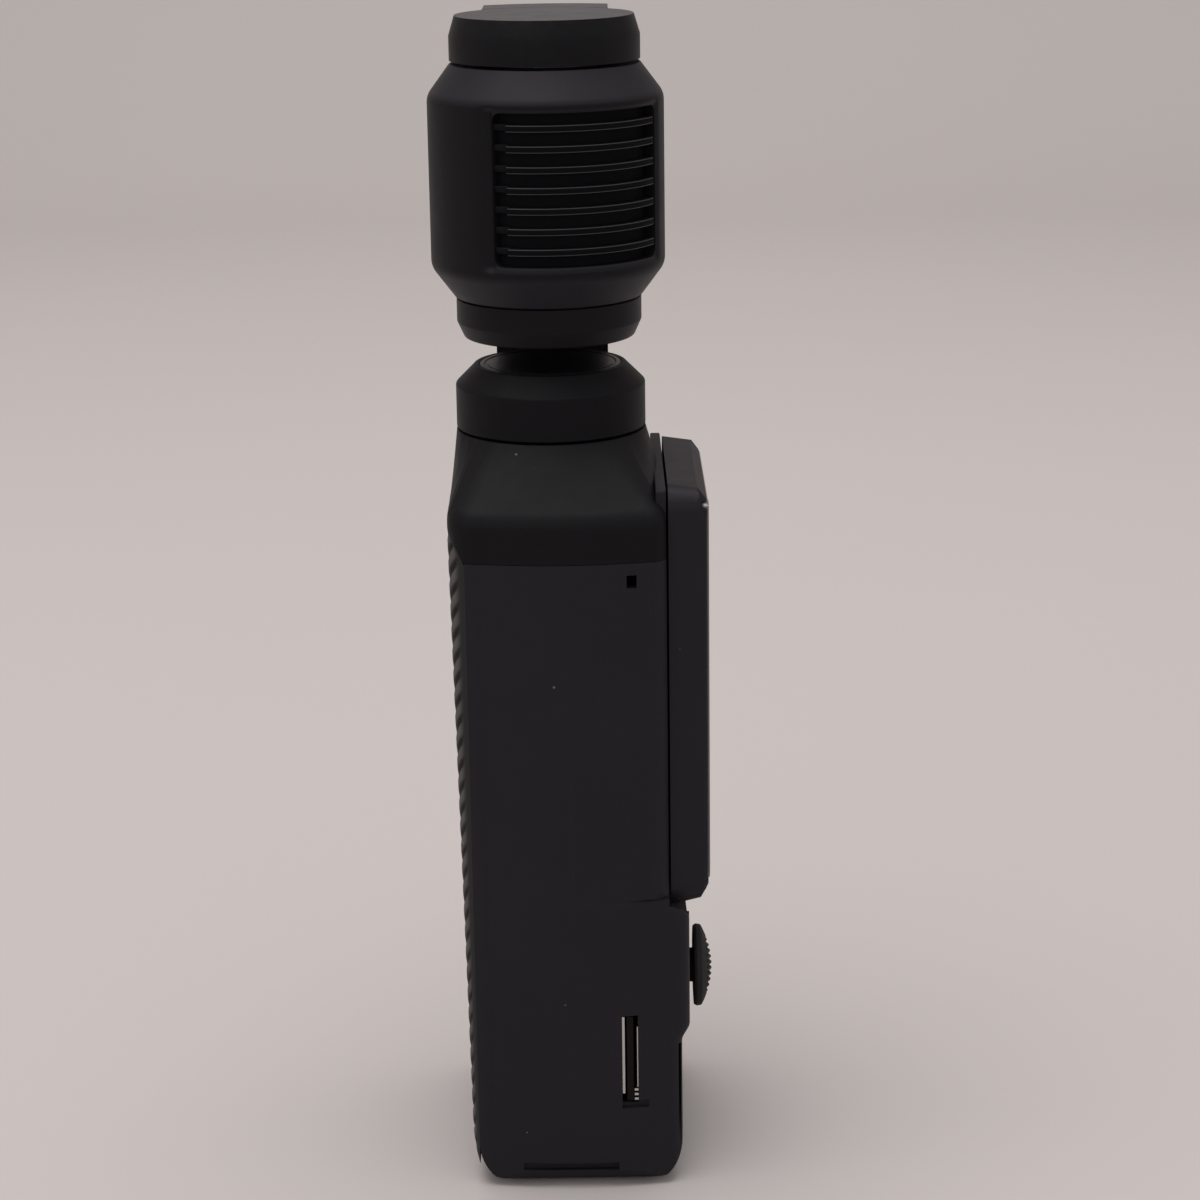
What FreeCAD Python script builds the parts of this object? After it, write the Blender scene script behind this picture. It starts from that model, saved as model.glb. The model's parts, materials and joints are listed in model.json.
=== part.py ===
import FreeCAD, Part
import math
import os
import re
import Sketcher

# Pocket gimbal camera, switched off and stowed.
# +Z runs up the handle, +X points at the touch screen, and -Y is the side with the card slot.
# The origin is where the pan axis meets the bottom face. Lengths are millimetres, angles degrees.

Vector = FreeCAD.Vector
DOC = FreeCAD.newDocument("gimbal_camera")
SHEET = DOC.addObject("Spreadsheet::Sheet", "sizes")
FULL_TURN = 360
SAME_LENGTH = 0.001

# Driving dimensions: a name, its value, and what it measures.
SIZES = [
    # Head, measured from the roll axis
    ("head_clearance", 0.7, "turning head to the pan ring"),
    ("head_half", 18.7, "roll axis to the flat end of either cap"),
    ("barrel_radius", 13.8, "camera barrel"),
    ("barrel_slope", 3.6, "height of the barrel's sloping ends"),
    ("cap_height", 5.1, "tilt cap, from its gap to its flat end"),
    ("barrel_low", 13.8, "roll axis to the barrel's lower end"),
    ("barrel_end_radius", 11.1, "barrel at its ends"),
    ("barrel_wall", 1.3, "barrel shell"),
    ("barrel_edge_round", 2.4, "soft edge between barrel and its slopes"),
    ("cap_gap", 0.4, "running gap between barrel and tilt cap"),
    ("cap_radius", 11.1, "tilt cap"),
    ("cap_face_radius", 10.4, "flat end of the tilt cap"),
    ("cap_chamfer_height", 2.3, "height of the cap's chamfer"),
    ("cap_wall", 1.0, "tilt cap wall"),
    ("lower_cap_radius", 10.95, "barrel's lower cap"),
    ("lower_cap_face_radius", 10.1, "flat end of the lower cap"),
    ("lower_cap_chamfer_height", 1.9, "height of the lower cap's chamfer"),
    # Heat sink, angles from the card slot's side towards the screen
    ("sink_turn", 21.0, "middle of the heat sink, and opposite the lens"),
    ("sink_half_angle", 47.0, "half of the heat sink's opening"),
    ("sink_edge_gap", 0.8, "heat sink's opening to the barrel's slopes"),
    ("sink_recess", 1.7, "rib roots below the barrel"),
    ("sink_plate", 1.2, "plate behind the ribs"),
    ("sink_rib_depth", 1.3, "ribs, from root to crest"),
    ("sink_end_share", 0.55, "part of a rib's pitch left free at the opening's ends"),
    ("sink_rib_share", 0.335, "rib's part of the pitch"),
    ("sink_rib_count", 7, "ribs"),
    ("sink_fit", 0.06, "gap round the heat sink panel"),
    # Lens, distances from the tilt axis
    ("bezel_radius", 8.2, "lens bezel"),
    ("bezel_bore", 6.9, "opening in the bezel"),
    ("bezel_front", 11.3, "face of the bezel"),
    ("bezel_seat", 9.6, "seat of the bezel"),
    ("lens_fit", 0.05, "gap round lens pieces"),
    ("front_glass_thickness", 0.7, "front glass"),
    ("front_glass_drop", 0.35, "glass below the bezel's face"),
    ("lens_tube_radius", 6.2, "lens barrel"),
    ("lens_tube_wall", 0.8, "lens barrel wall"),
    ("lens_tube_back", 0.6, "back of the lens barrel"),
    ("element_thickness", 1.5, "each lens element"),
    ("element_gap", 0.7, "air between elements"),
    ("element_count", 3, "lens elements"),
    ("sensor_board_side", 15.5, "sensor board"),
    ("sensor_board_thickness", 0.9, "sensor board"),
    ("sensor_width", 13.2, "image sensor"),
    ("sensor_height", 8.8, "image sensor"),
    ("sensor_thickness", 0.8, "image sensor"),
    ("heat_block_side", 12.0, "block between sensor board and heat sink"),
    # Motors
    ("motor_flange", 0.6, "motor base plate"),
    ("motor_flange_radius", 7.4, "motor base plate"),
    ("post_radius", 2.3, "motor post"),
    ("post_bore", 1.6, "bearing seat in the post"),
    ("shaft_radius", 1.0, "motor shafts"),
    ("shaft_fit", 0.03, "running fit of the shaft"),
    ("bearing_height", 1.0, "each bearing"),
    ("stator_ring", 4.0, "stator core's ring"),
    ("stator_radius", 7.9, "stator over its teeth"),
    ("stator_thickness", 1.6, "stator core"),
    ("tooth_width", 1.2, "stator tooth"),
    ("tooth_tip", 0.7, "stator tooth's shoe"),
    ("tooth_count", 9, "stator teeth and coils"),
    ("coil_wall", 0.5, "winding on a tooth"),
    ("air_gap", 0.3, "stator to magnets"),
    ("motor_clearance", 0.3, "end gaps inside a motor"),
    # Pan ring and pan arm
    ("pan_gap", 0.3, "running gap under the pan ring"),
    ("pan_ring_radius", 11.3, "pan ring"),
    ("pan_ring_side", 5.4, "pan seat to the top of the ring's straight side"),
    ("pan_ring_height", 7.7, "pan seat to the top of the pan ring"),
    ("pan_face_radius", 9.0, "flat top of the pan ring"),
    ("soft_edge", 0.3, "small bevels"),
    ("pan_ring_wall", 1.1, "pan ring wall"),
    ("pan_roof", 1.6, "pan ring's roof"),
    ("pan_disc_radius", 8.4, "disc set in the pan ring's top"),
    ("pan_disc_thickness", 0.5, "disc set in the pan ring's top"),
    ("pan_arm_width", 14.0, "pan arm"),
    ("pan_arm_thickness", 4.2, "pan arm's upright"),
    ("pan_arm_edge", 1.6, "soft outer edges of the pan arm"),
    ("pan_arm_foot", 3.2, "pan arm's foot, in height"),
    ("arm_fit", 0.05, "gap between arm and what it is fixed to"),
    ("roll_cup_radius", 11.1, "roll motor housing"),
    ("roll_cup_wall", 1.0, "roll motor housing"),
    ("roll_cup_depth", 6.25, "roll motor, from hub to back"),
    ("roll_cover_thickness", 0.9, "roll motor's rear cover"),
    ("roll_gap", 0.3, "running gap in front of the roll motor"),
    # Roll arm
    ("barrel_clearance", 0.6, "turning barrel to the roll arm"),
    ("arm_thickness", 2.1, "roll arm behind the barrel"),
    ("hub_proud", 0.25, "roll arm's hub above the arm's curve"),
    ("arm_width", 14.9, "roll arm"),
    ("arm_top_thickness", 2.4, "roll arm over the barrel"),
    ("roll_hub_radius", 9.6, "roll arm's hub"),
    # Handle
    ("shell_front", 10.1, "pan axis to the grip's seam"),
    ("shell_back", 13.3, "pan axis to the back behind the screen"),
    ("shell_half", 19.2, "half of the handle's width"),
    ("side_crown", 1.1, "bulge of the narrow sides"),
    ("front_round", 4.0, "upright front corners"),
    ("back_round", 2.2, "upright back corners"),
    ("shell_wall", 1.3, "handle shell"),
    ("shell_floor", 1.8, "handle floor"),
    ("shell_top", 78.8, "seam under the shoulder cover"),
    ("bottom_round", 5.4, "lower corners in side view"),
    ("bottom_edge", 4.0, "round lower edges along the sides"),
    ("lower_back_step", 1.45, "lower back behind the screen's back"),
    ("pad_step", 0.95, "raised pad above the lower back"),
    ("pad_bottom", 19.6, "lower edge of the raised pad"),
    ("pad_slope", 1.4, "slope under the raised pad"),
    ("pad_side_gap", 2.2, "raised pad to the handle's side"),
    ("sweep_gap", 2.6, "turning screen to the raised pad"),
    ("shoulder_side", 5.2, "shoulder cover's straight side"),
    ("shoulder_round", 3.0, "soft brow between the shoulder and its side"),
    ("shoulder_rise", 7.2, "height over which the shoulder draws in"),
    ("seam", 0.06, "seams between fixed covers"),
    # Front grip
    ("grip_thickness", 2.0, "grip near its top"),
    ("grip_taper", 1.1, "grip's loss of thickness towards its bottom"),
    ("grip_rise", 3.8, "grip's top above the seam"),
    ("grip_bottom", 2.9, "bottom of the grip"),
    ("grip_rib_top_gap", 2.6, "ribs to the grip's top"),
    ("grip_rib_low_gap", 5.1, "ribs to the grip's bottom"),
    ("grip_rib_pitch", 2.7, "slanted ribs, measured up the grip"),
    ("grip_rib_height", 1.8, "each rib, measured up the grip"),
    ("grip_groove_depth", 0.55, "grooves between the ribs"),
    ("grip_rib_slant", 42.0, "slant of the ribs"),
    # Screen
    ("screen_thickness", 4.55, "screen housing"),
    ("screen_gap", 0.25, "running gap behind the screen"),
    ("screen_half_width", 15.5, "half of the screen's width"),
    ("screen_centre", 61.6, "height of the screen pivot"),
    ("screen_half_length", 25.2, "half of the screen's length"),
    ("screen_corner", 3.0, "screen corners"),
    ("screen_draft", 8.0, "slope of the screen's edges"),
    ("screen_back_wall", 1.4, "back of the screen housing"),
    ("glass_thickness", 0.8, "cover glass"),
    ("glass_proud", 0.2, "glass above its housing"),
    ("glass_border", 0.5, "housing rim round the glass"),
    ("display_border", 1.4, "glass edge to the display"),
    ("screen_plate_thickness", 1.2, "fixed plate behind the screen"),
    ("pivot_radius", 3.4, "screen pivot"),
    ("pivot_bore", 2.2, "cable way through the pivot"),
    ("pivot_fit", 0.05, "running fit of the pivot"),
    ("pivot_bearing", 5.2, "bearing ring round the pivot"),
    ("pivot_flange", 4.8, "pivot's inner flange"),
    ("pivot_flange_thickness", 0.7, "pivot's inner flange"),
    # Joystick and record button
    ("stick_side", 8.0, "joystick to the handle's middle"),
    ("stick_height", 24.6, "height of joystick and record button"),
    ("stick_radius", 5.35, "joystick cap"),
    ("stick_gap", 0.7, "raised pad to the joystick cap"),
    ("stick_thickness", 2.3, "joystick cap"),
    ("stick_rim", 0.9, "joystick cap's rim"),
    ("stick_stem", 2.1, "joystick stem"),
    ("stick_pivot_depth", 1.8, "joystick's pivot below its dish"),
    ("stick_press_room", 0.35, "gap that the joystick's press closes"),
    ("dish_radius", 6.4, "dish round the joystick"),
    ("dish_depth", 0.9, "dish round the joystick"),
    ("yoke_ring", 0.8, "joystick's cross rings"),
    ("yoke_gap", 0.35, "gap between the joystick's rings"),
    ("module_wall", 0.7, "joystick module's can"),
    ("module_depth", 3.9, "joystick module"),
    ("button_radius", 4.6, "record button"),
    ("button_ring", 1.0, "light ring round the record button"),
    ("button_fit", 0.15, "gap round the record button"),
    ("button_thickness", 2.0, "record button"),
    ("button_travel_room", 0.5, "switch below the record button"),
    # Card slot, socket and holes
    ("card_across", 8.4, "pan axis to the card slot"),
    ("card_low", 11.0, "lower end of the card slot"),
    ("card_length", 11.6, "length of the card slot"),
    ("card_slot_width", 2.0, "width of the card slot"),
    ("card_width", 11.0, "memory card"),
    ("card_thickness", 0.8, "memory card"),
    ("card_depth", 15.0, "memory card, end to end"),
    ("card_inset", 0.9, "card's end inside the handle's side"),
    ("cage_wall", 0.25, "sheet of the card cage"),
    ("cage_depth", 14.6, "card cage"),
    ("thumb_recess", 0.5, "nail recess by the card slot"),
    ("thumb_width", 3.2, "nail recess by the card slot"),
    ("mic_across", 9.2, "pan axis to the microphone hole"),
    ("mic_height", 76.6, "height of the microphone hole"),
    ("mic_width", 1.15, "microphone hole"),
    ("mic_length", 1.55, "microphone hole"),
    ("catch_front", 4.7, "pan axis to the catch notch's front end"),
    ("catch_back", 6.9, "pan axis to the catch notch's back end"),
    ("catch_low", 2.4, "lower edge of the catch notch"),
    ("catch_tall", 1.0, "catch notch"),
    ("catch_depth", 0.9, "catch notch"),
    ("socket_width", 8.94, "data socket's shell"),
    ("socket_thickness", 3.2, "data socket's shell"),
    ("socket_depth", 7.4, "data socket's shell"),
    ("socket_wall", 0.3, "data socket's shell"),
    ("socket_lip", 0.4, "socket above the bottom face"),
    ("tongue_thickness", 0.7, "contact tongue in the socket"),
    ("tongue_width", 6.7, "contact tongue in the socket"),
    # Inside the handle
    ("battery_thickness", 8.2, "battery"),
    ("battery_side_gap", 0.8, "battery to the handle's inner side"),
    ("battery_length", 62.0, "battery"),
    ("battery_low", 8.0, "lower end of the battery"),
    ("inner_gap", 0.2, "gaps between stacked inner parts"),
    ("frame_thickness", 1.0, "inner frame"),
    ("board_thickness", 1.0, "main board"),
    ("board_side_gap", 0.8, "main board to the handle's inner side"),
    ("board_low", 10.0, "lower end of the main board"),
    ("board_length", 64.0, "main board"),
    ("chip_side", 12.0, "main processor"),
    ("chip_thickness", 1.0, "chips on the board"),
    ("spreader_thickness", 0.5, "heat spreader"),
    ("spreader_width", 22.0, "heat spreader"),
    ("spreader_length", 30.0, "heat spreader"),
    ("speaker_radius", 5.0, "speaker"),
    ("speaker_thickness", 3.0, "speaker"),
    ("screw_low", 35.0, "height of the lower screws"),
    ("screw_radius", 0.9, "board screws"),
    ("screw_head", 1.6, "board screw heads"),
    ("screw_length", 5.0, "board screws under their heads"),
    ("boss_radius", 2.2, "screw bosses"),
]

# Places that follow from the sizes above.
DERIVED = {
    "grip_top_front": "shell_front + grip_thickness",
    "grip_low_front": "grip_top_front - grip_taper",
    "grip_top": "shell_top + grip_rise",
    "grip_rib_top": "grip_top - grip_rib_top_gap",
    "grip_rib_bottom": "grip_bottom + grip_rib_low_gap",
    "grip_corner": "grip_top - 2 * grip_thickness",
    "shoulder_straight": "shell_top + shoulder_side",
    "pan_seat_height": "shoulder_straight + shoulder_rise",
    "pan_ring_straight": "pan_seat_height + pan_ring_side",
    "pan_ring_top": "pan_seat_height + pan_ring_height",
    "barrel_high": "head_half - cap_height - cap_gap",
    "sink_half_height": "barrel_high - barrel_slope - sink_edge_gap",
    "sink_rib_pitch": "2 * sink_half_height / (sink_rib_count + sink_end_share)",
    "sink_rib_thickness": "sink_rib_share * sink_rib_pitch",
    "head_sweep": "sqrt(pow(head_half; 2) + pow(cap_face_radius; 2))",
    "head_height": "pan_ring_top + head_sweep + head_clearance",
    "arm_inner_radius": "barrel_radius + barrel_clearance",
    "arm_outer_radius": "arm_inner_radius + arm_thickness",
    "hub_back": "arm_outer_radius + hub_proud",
    "roll_cup_back": "hub_back + roll_cup_depth",
    "lower_back": "shell_back + lower_back_step",
    "pad_back": "lower_back + pad_step",
    "pad_half": "shell_half - pad_side_gap",
    "screen_corner_wide": "screen_half_width - screen_corner",
    "screen_corner_tall": "screen_half_length - screen_corner",
    "screen_sweep": "sqrt(pow(screen_corner_wide; 2) + pow(screen_corner_tall; 2)) + screen_corner",
    "pad_sweep": "screen_sweep + sweep_gap",
    "screen_back": "shell_back + screen_gap",
    "screen_face": "screen_back + screen_thickness",
    "screen_plate_top": "screen_centre + screen_half_length",
    "glass_inset": "screen_thickness * tan(screen_draft) + glass_border",
    "stick_back": "pad_back + stick_gap",
    "stick_front": "stick_back + stick_thickness",
    "dish_floor": "pad_back - dish_depth",
    "stick_pivot": "dish_floor - stick_pivot_depth",
    "crown_edge": "shell_half - side_crown",
    "inner_half": "crown_edge - shell_wall",
    "inner_back": "shell_back - screen_plate_thickness - shell_wall",
    "inner_front": "shell_front - shell_wall",
    "board_back": "card_across - card_slot_width / 2 - cage_wall",
    "board_front": "board_back - board_thickness",
    "board_half": "inner_half - board_side_gap",
    "socket_across": "board_front - socket_thickness / 2",
    "battery_back": "battery_thickness + inner_gap - inner_front",
    "battery_half": "inner_half - battery_side_gap",
    "frame_front": "battery_back + inner_gap",
    "screw_inset": "boss_radius + inner_gap",
    "speaker_side": "board_half - screw_inset - screw_head - speaker_radius - inner_gap",
    "speaker_height": "screen_centre + pivot_flange + speaker_radius + inner_gap",
}

ALIASES = {row[0] for row in SIZES}


def fill_sheet():
    for row, (alias, number, meaning) in enumerate(SIZES, start=1):
        SHEET.set(f"A{row}", meaning)
        SHEET.set(f"B{row}", str(number))
        SHEET.setAlias(f"B{row}", alias)
    DOC.recompute()


def formula(text):
    """An expression in which each size points at its cell, and each derived place is written out."""
    return re.sub(r"[a-z_][a-z0-9_]*", lambda match: spelled_out(match[0]), str(text))


def spelled_out(word):
    if word in DERIVED:
        return f"({formula(DERIVED[word])})"
    return f"sizes.{word}" if word in ALIASES else word


def number(text):
    """The present value of an expression."""
    return float(SHEET.evalExpression(formula(text)))


def bind(thing, **values):
    """Ties properties to expressions; a double underscore stands for a dot."""
    for name, text in values.items():
        thing.setExpression(name.replace("__", "."), formula(text))


def lay(thing, x="0", y="0", z="0"):
    """Ties the placement's base to expressions."""
    bind(thing, Placement__Base__x=x, Placement__Base__y=y, Placement__Base__z=z)
    return thing


def turn(thing, axis, angle="0"):
    """Ties the placement's rotation about a fixed axis to an expression."""
    thing.Placement = FreeCAD.Placement(Vector(), FreeCAD.Rotation(Vector(*axis), number(angle)))
    bind(thing, Placement__Rotation__Angle=angle)
    return thing


def new_body(label):
    body = DOC.addObject("PartDesign::Body", label)
    body.Label = label
    return body


def new_sketch(body, role, offset="0"):
    """A sketch on one of the body's origin planes, moved along that plane's normal."""
    plane = next(item for item in body.Origin.OriginFeatures if item.Role == role)
    sketch = body.newObject("Sketcher::SketchObject", "outline")
    sketch.AttachmentSupport = [(plane, "")]
    sketch.MapMode = "FlatFace"
    bind(sketch, AttachmentOffset__Base__z=offset)
    return sketch


def arc_centre(start, end, radius):
    """Centre of the short arc from start to end: to the left, or to the right when negative."""
    middle = (start + end) * 0.5
    along = end - start
    rise = math.sqrt(max(radius ** 2 - (along.Length / 2) ** 2, 0))
    left = Vector(-along.y, along.x, 0).normalize()
    return middle + left * math.copysign(rise, radius)


def new_edge(sketch, start, end, bend):
    """One line or arc. Returns its index and the ends of it that hold start and end."""
    if bend is None:
        return sketch.addGeometry(Part.LineSegment(start, end), False), 1, 2
    radius = number(bend)
    centre = arc_centre(start, end, radius)
    low, high = (start, end) if radius > 0 else (end, start)
    angles = [math.atan2(point.y - centre.y, point.x - centre.x) for point in (low, high)]
    if angles[1] < angles[0]:
        angles[1] += 2 * math.pi
    circle = Part.Circle(centre, Vector(0, 0, 1), abs(radius))
    index = sketch.addGeometry(Part.ArcOfCircle(circle, *angles), False)
    limit = sketch.addConstraint(Sketcher.Constraint("Radius", index, abs(radius)))
    sketch.setExpression(f"Constraints[{limit}]", formula(f"abs({bend})"))
    return (index, 1, 2) if radius > 0 else (index, 2, 1)


def outline(sketch, corners):
    """A closed outline. Each corner is (x, y) or (x, y, bend), with the bend of the edge after it."""
    places = [Vector(number(corner[0]), number(corner[1]), 0) for corner in corners]
    edges = []
    for order, corner in enumerate(corners):
        bend = corner[2] if len(corner) > 2 else None
        edges.append(new_edge(sketch, places[order], places[(order + 1) % len(places)], bend))
    for order, (index, first, last) in enumerate(edges):
        following, first_of_next, _ = edges[(order + 1) % len(edges)]
        sketch.addConstraint(Sketcher.Constraint("Coincident", index, last, following, first_of_next))
        for kind, text, value in zip(("DistanceX", "DistanceY"), corners[order], places[order]):
            limit = sketch.addConstraint(Sketcher.Constraint(kind, -1, 1, index, first, value))
            sketch.setExpression(f"Constraints[{limit}]", formula(text))
    return sketch


def ring(sketch, x, y, *radii):
    """Circles round one centre."""
    for radius in radii:
        centre = Vector(number(x), number(y), 0)
        index = sketch.addGeometry(Part.Circle(centre, Vector(0, 0, 1), number(radius)), False)
        for kind, text, value in (("DistanceX", x, centre.x), ("DistanceY", y, centre.y)):
            limit = sketch.addConstraint(Sketcher.Constraint(kind, -1, 1, index, 3, value))
            sketch.setExpression(f"Constraints[{limit}]", formula(text))
        limit = sketch.addConstraint(Sketcher.Constraint("Radius", index, number(radius)))
        sketch.setExpression(f"Constraints[{limit}]", formula(radius))
    return sketch


def rectangle(sketch, left, right, low, high):
    return outline(sketch, [(left, low), (right, low), (right, high), (left, high)])


def feature(body, kind, sketch, **values):
    """A sketched feature; a cut is turned round where it would point away from the body."""
    before = body.Shape.Volume if body.Tip else 0
    item = body.newObject(f"PartDesign::{kind}", kind.lower())
    item.Profile = sketch
    bind(item, **values)
    DOC.recompute()
    if kind == "Pocket" and abs(body.Shape.Volume - before) < 1e-6:
        item.Reversed = True
        DOC.recompute()
    sketch.Visibility = False
    return item


def pad(body, sketch, length, reversed_way=False):
    item = feature(body, "Pad", sketch, Length=length)
    item.Reversed = reversed_way
    return item


def pad_both(body, sketch, length):
    item = feature(body, "Pad", sketch, Length=length)
    item.SideType = "Symmetric"
    return item


def pocket(body, sketch, length):
    return feature(body, "Pocket", sketch, Length=length)


def pocket_through(body, sketch):
    item = feature(body, "Pocket", sketch)
    item.SideType = "Symmetric"
    item.Type = 1
    DOC.recompute()
    return item


def spin(body, sketch, cut=False, angle=None):
    """Revolution or groove about the sketch's upright axis."""
    item = body.newObject("PartDesign::Groove" if cut else "PartDesign::Revolution", "spin")
    item.Profile = sketch
    item.ReferenceAxis = (sketch, ["V_Axis"])
    item.Angle = FULL_TURN
    if angle is not None:
        item.Midplane = True
        bind(item, Angle=angle)
    DOC.recompute()
    return item


def turned(label, corners, role="XZ_Plane"):
    """A body turned from an outline of (radius, height) corners."""
    body = new_body(label)
    spin(body, outline(new_sketch(body, role), corners))
    return body


def tube(label, outer, inner, low, high):
    return turned(label, [(inner, low), (outer, low), (outer, high), (inner, high)])


def edges_where(body, test):
    """Names of the edges whose shape passes the test."""
    return [f"Edge{order}" for order, edge in enumerate(body.Shape.Edges, start=1) if test(edge)]


def soften(body, radius, test, kind="Fillet"):
    """A fillet or chamfer on the edges that pass the test."""
    names = edges_where(body, test)
    base = body.Tip
    item = body.newObject(f"PartDesign::{kind}", kind.lower())
    item.Base = (base, names)
    bind(item, **{"Radius" if kind == "Fillet" else "Size": radius})
    DOC.recompute()
    return item


def around(body, source, axis_role, count):
    """Copies of a feature round one of the body's own axes."""
    axis = next(item for item in body.Origin.OriginFeatures if item.Role == axis_role)
    item = body.newObject("PartDesign::PolarPattern", "round")
    item.Originals = [source]
    item.Axis = (axis, [""])
    item.Angle = FULL_TURN
    bind(item, Occurrences=count)
    body.Tip = item
    DOC.recompute()
    return item


def box(label, x, y, z, wide, deep, tall):
    """A plain block, its middle at x and y and its foot at z."""
    item = DOC.addObject("Part::Box", label)
    item.Label = label
    bind(item, Length=wide, Width=deep, Height=tall)
    return lay(item, f"({x}) - ({wide}) / 2", f"({y}) - ({deep}) / 2", z)


def joined(label, kind, *pieces):
    """A boolean of several pieces: Fuse, Cut or Compound."""
    if kind == "Compound":
        item = DOC.addObject("Part::Compound", label)
        item.Links = list(pieces)
    elif kind == "MultiFuse":
        item = DOC.addObject("Part::MultiFuse", label)
        item.Shapes = list(pieces)
    else:
        item = DOC.addObject(f"Part::{kind}", label)
        item.Base, item.Tool = pieces
    item.Label = label
    DOC.recompute()
    return item


# Motors: in each one's own frame the base is at height 0 and the housing's roof at the height given.
def motor_base(name, roof):
    top = f"{roof} - motor_clearance"
    return turned(f"{name}_motor_base", [
        ("post_bore", "0"),
        ("motor_flange_radius", "0"),
        ("motor_flange_radius", "motor_flange"),
        ("post_radius", "motor_flange"),
        ("post_radius", top),
        ("post_bore", top),
    ])


def motor_bearings(name, roof):
    low = DOC.addObject("Part::Feature", f"{name}_bearing_low")
    high = DOC.addObject("Part::Feature", f"{name}_bearing_high")
    height = number("bearing_height")
    starts = (number("motor_flange"), number(f"{roof} - motor_clearance") - height)
    for item, start in zip((low, high), starts):
        outer = Part.makeCylinder(number("post_bore"), height, Vector(0, 0, start))
        inner = Part.makeCylinder(number("shaft_radius + shaft_fit"), height, Vector(0, 0, start))
        item.Shape = outer.cut(inner)
    return joined(f"{name}_bearings", "Compound", low, high)


def motor_stator(name, roof):
    core = tube(f"{name}_stator", "stator_ring", "post_radius", f"{roof} / 2", f"{roof} / 2 + stator_thickness")
    neck = "stator_radius - tooth_tip"
    tooth = new_sketch(core, "XY_Plane", f"{roof} / 2")
    outline(tooth, [
        ("stator_ring - 0.3", "-tooth_width / 2"),
        (neck, "-tooth_width / 2"),
        (neck, "-tooth_width"),
        ("sqrt(pow(stator_radius; 2) - pow(tooth_width; 2))", "-tooth_width", "stator_radius"),
        ("sqrt(pow(stator_radius; 2) - pow(tooth_width; 2))", "tooth_width"),
        (neck, "tooth_width"),
        (neck, "tooth_width / 2"),
        ("stator_ring - 0.3", "tooth_width / 2"),
    ])
    around(core, pad(core, tooth, "stator_thickness"), "Z_Axis", "tooth_count")
    return core


def motor_coils(name, roof):
    coils = new_body(f"{name}_coils")
    coils.AllowCompound = True
    section = new_sketch(coils, "YZ_Plane", "stator_ring + coil_wall")
    wide, low = "tooth_width / 2", f"{roof} / 2"
    rectangle(section, f"-{wide}", wide, low, f"{low} + stator_thickness")
    rectangle(section, f"-{wide} - coil_wall", f"{wide} + coil_wall", f"{low} - coil_wall",
              f"{low} + stator_thickness + coil_wall")
    coil = pad(coils, section, "stator_radius - tooth_tip - stator_ring - 1.5 * coil_wall")
    around(coils, coil, "Z_Axis", "tooth_count")
    return coils


def motor_magnets(name, roof, cup_bore):
    return tube(f"{name}_magnets", cup_bore, "stator_radius + air_gap", "motor_flange + motor_clearance",
                f"{roof} - motor_clearance")


def motor_shaft(name, roof):
    low = "motor_clearance"
    return turned(f"{name}_shaft", [("0", low), ("shaft_radius", low), ("shaft_radius", roof), ("0", roof)])


def motor(name, roof, cup_bore, stand):
    """One gimbal motor; stand puts a piece from the motor's frame into its place."""
    for piece in (
        motor_base(name, roof),
        motor_bearings(name, roof),
        motor_stator(name, roof),
        motor_coils(name, roof),
        motor_magnets(name, roof, cup_bore),
        motor_shaft(name, roof),
    ):
        keep(stand(piece))


# Head
def with_camera(thing):
    """Into the camera's frame: the heat sink's middle along +X, turned to its place."""
    return lay(turn(thing, (0, 0, 1), "sink_turn - 90"), z="head_height")


def along_lens(thing):
    """Puts a turned piece's axis along the lens, pointing away from the heat sink."""
    facing = FreeCAD.Rotation(Vector(0, 0, 1), number("sink_turn + 90"))
    thing.Placement = FreeCAD.Placement(Vector(), facing * FreeCAD.Rotation(Vector(0, 1, 0), 90))
    return lay(thing, z="head_height")


def barrel_shell():
    hole = "post_bore"
    inner, inner_end = "barrel_radius - barrel_wall", "barrel_end_radius - barrel_wall"
    body = turned("barrel_shell", [
        (hole, "-barrel_low"),
        ("barrel_end_radius", "-barrel_low"),
        ("barrel_radius", "barrel_slope - barrel_low"),
        ("barrel_radius", "barrel_high - barrel_slope"),
        ("barrel_end_radius", "barrel_high"),
        (hole, "barrel_high"),
        (hole, "barrel_high - barrel_wall"),
        (inner_end, "barrel_high - barrel_wall"),
        (inner, "barrel_high - barrel_slope"),
        (inner, "barrel_slope - barrel_low"),
        (inner_end, "barrel_wall - barrel_low"),
        (hole, "barrel_wall - barrel_low"),
    ])
    wide = number("barrel_radius")
    soften(body, "barrel_edge_round", lambda edge: is_circle(edge, wide))
    window = new_sketch(body, "XZ_Plane")
    rectangle(window, "barrel_radius - 2 * barrel_wall", "barrel_radius + 1", "-sink_half_height", "sink_half_height")
    spin(body, window, cut=True, angle="2 * sink_half_angle")
    bore = new_sketch(body, "YZ_Plane", "-(barrel_radius + 1)")
    ring(bore, "0", "0", "bezel_radius + lens_fit")
    pocket(body, bore, "barrel_radius + 1 - bezel_seat")
    return with_camera(body)


def is_circle(edge, radius):
    curve = edge.Curve
    return isinstance(curve, Part.Circle) and abs(curve.Radius - radius) < SAME_LENGTH


def is_upright(edge):
    room = edge.BoundBox
    return room.XLength < SAME_LENGTH and room.YLength < SAME_LENGTH


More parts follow.
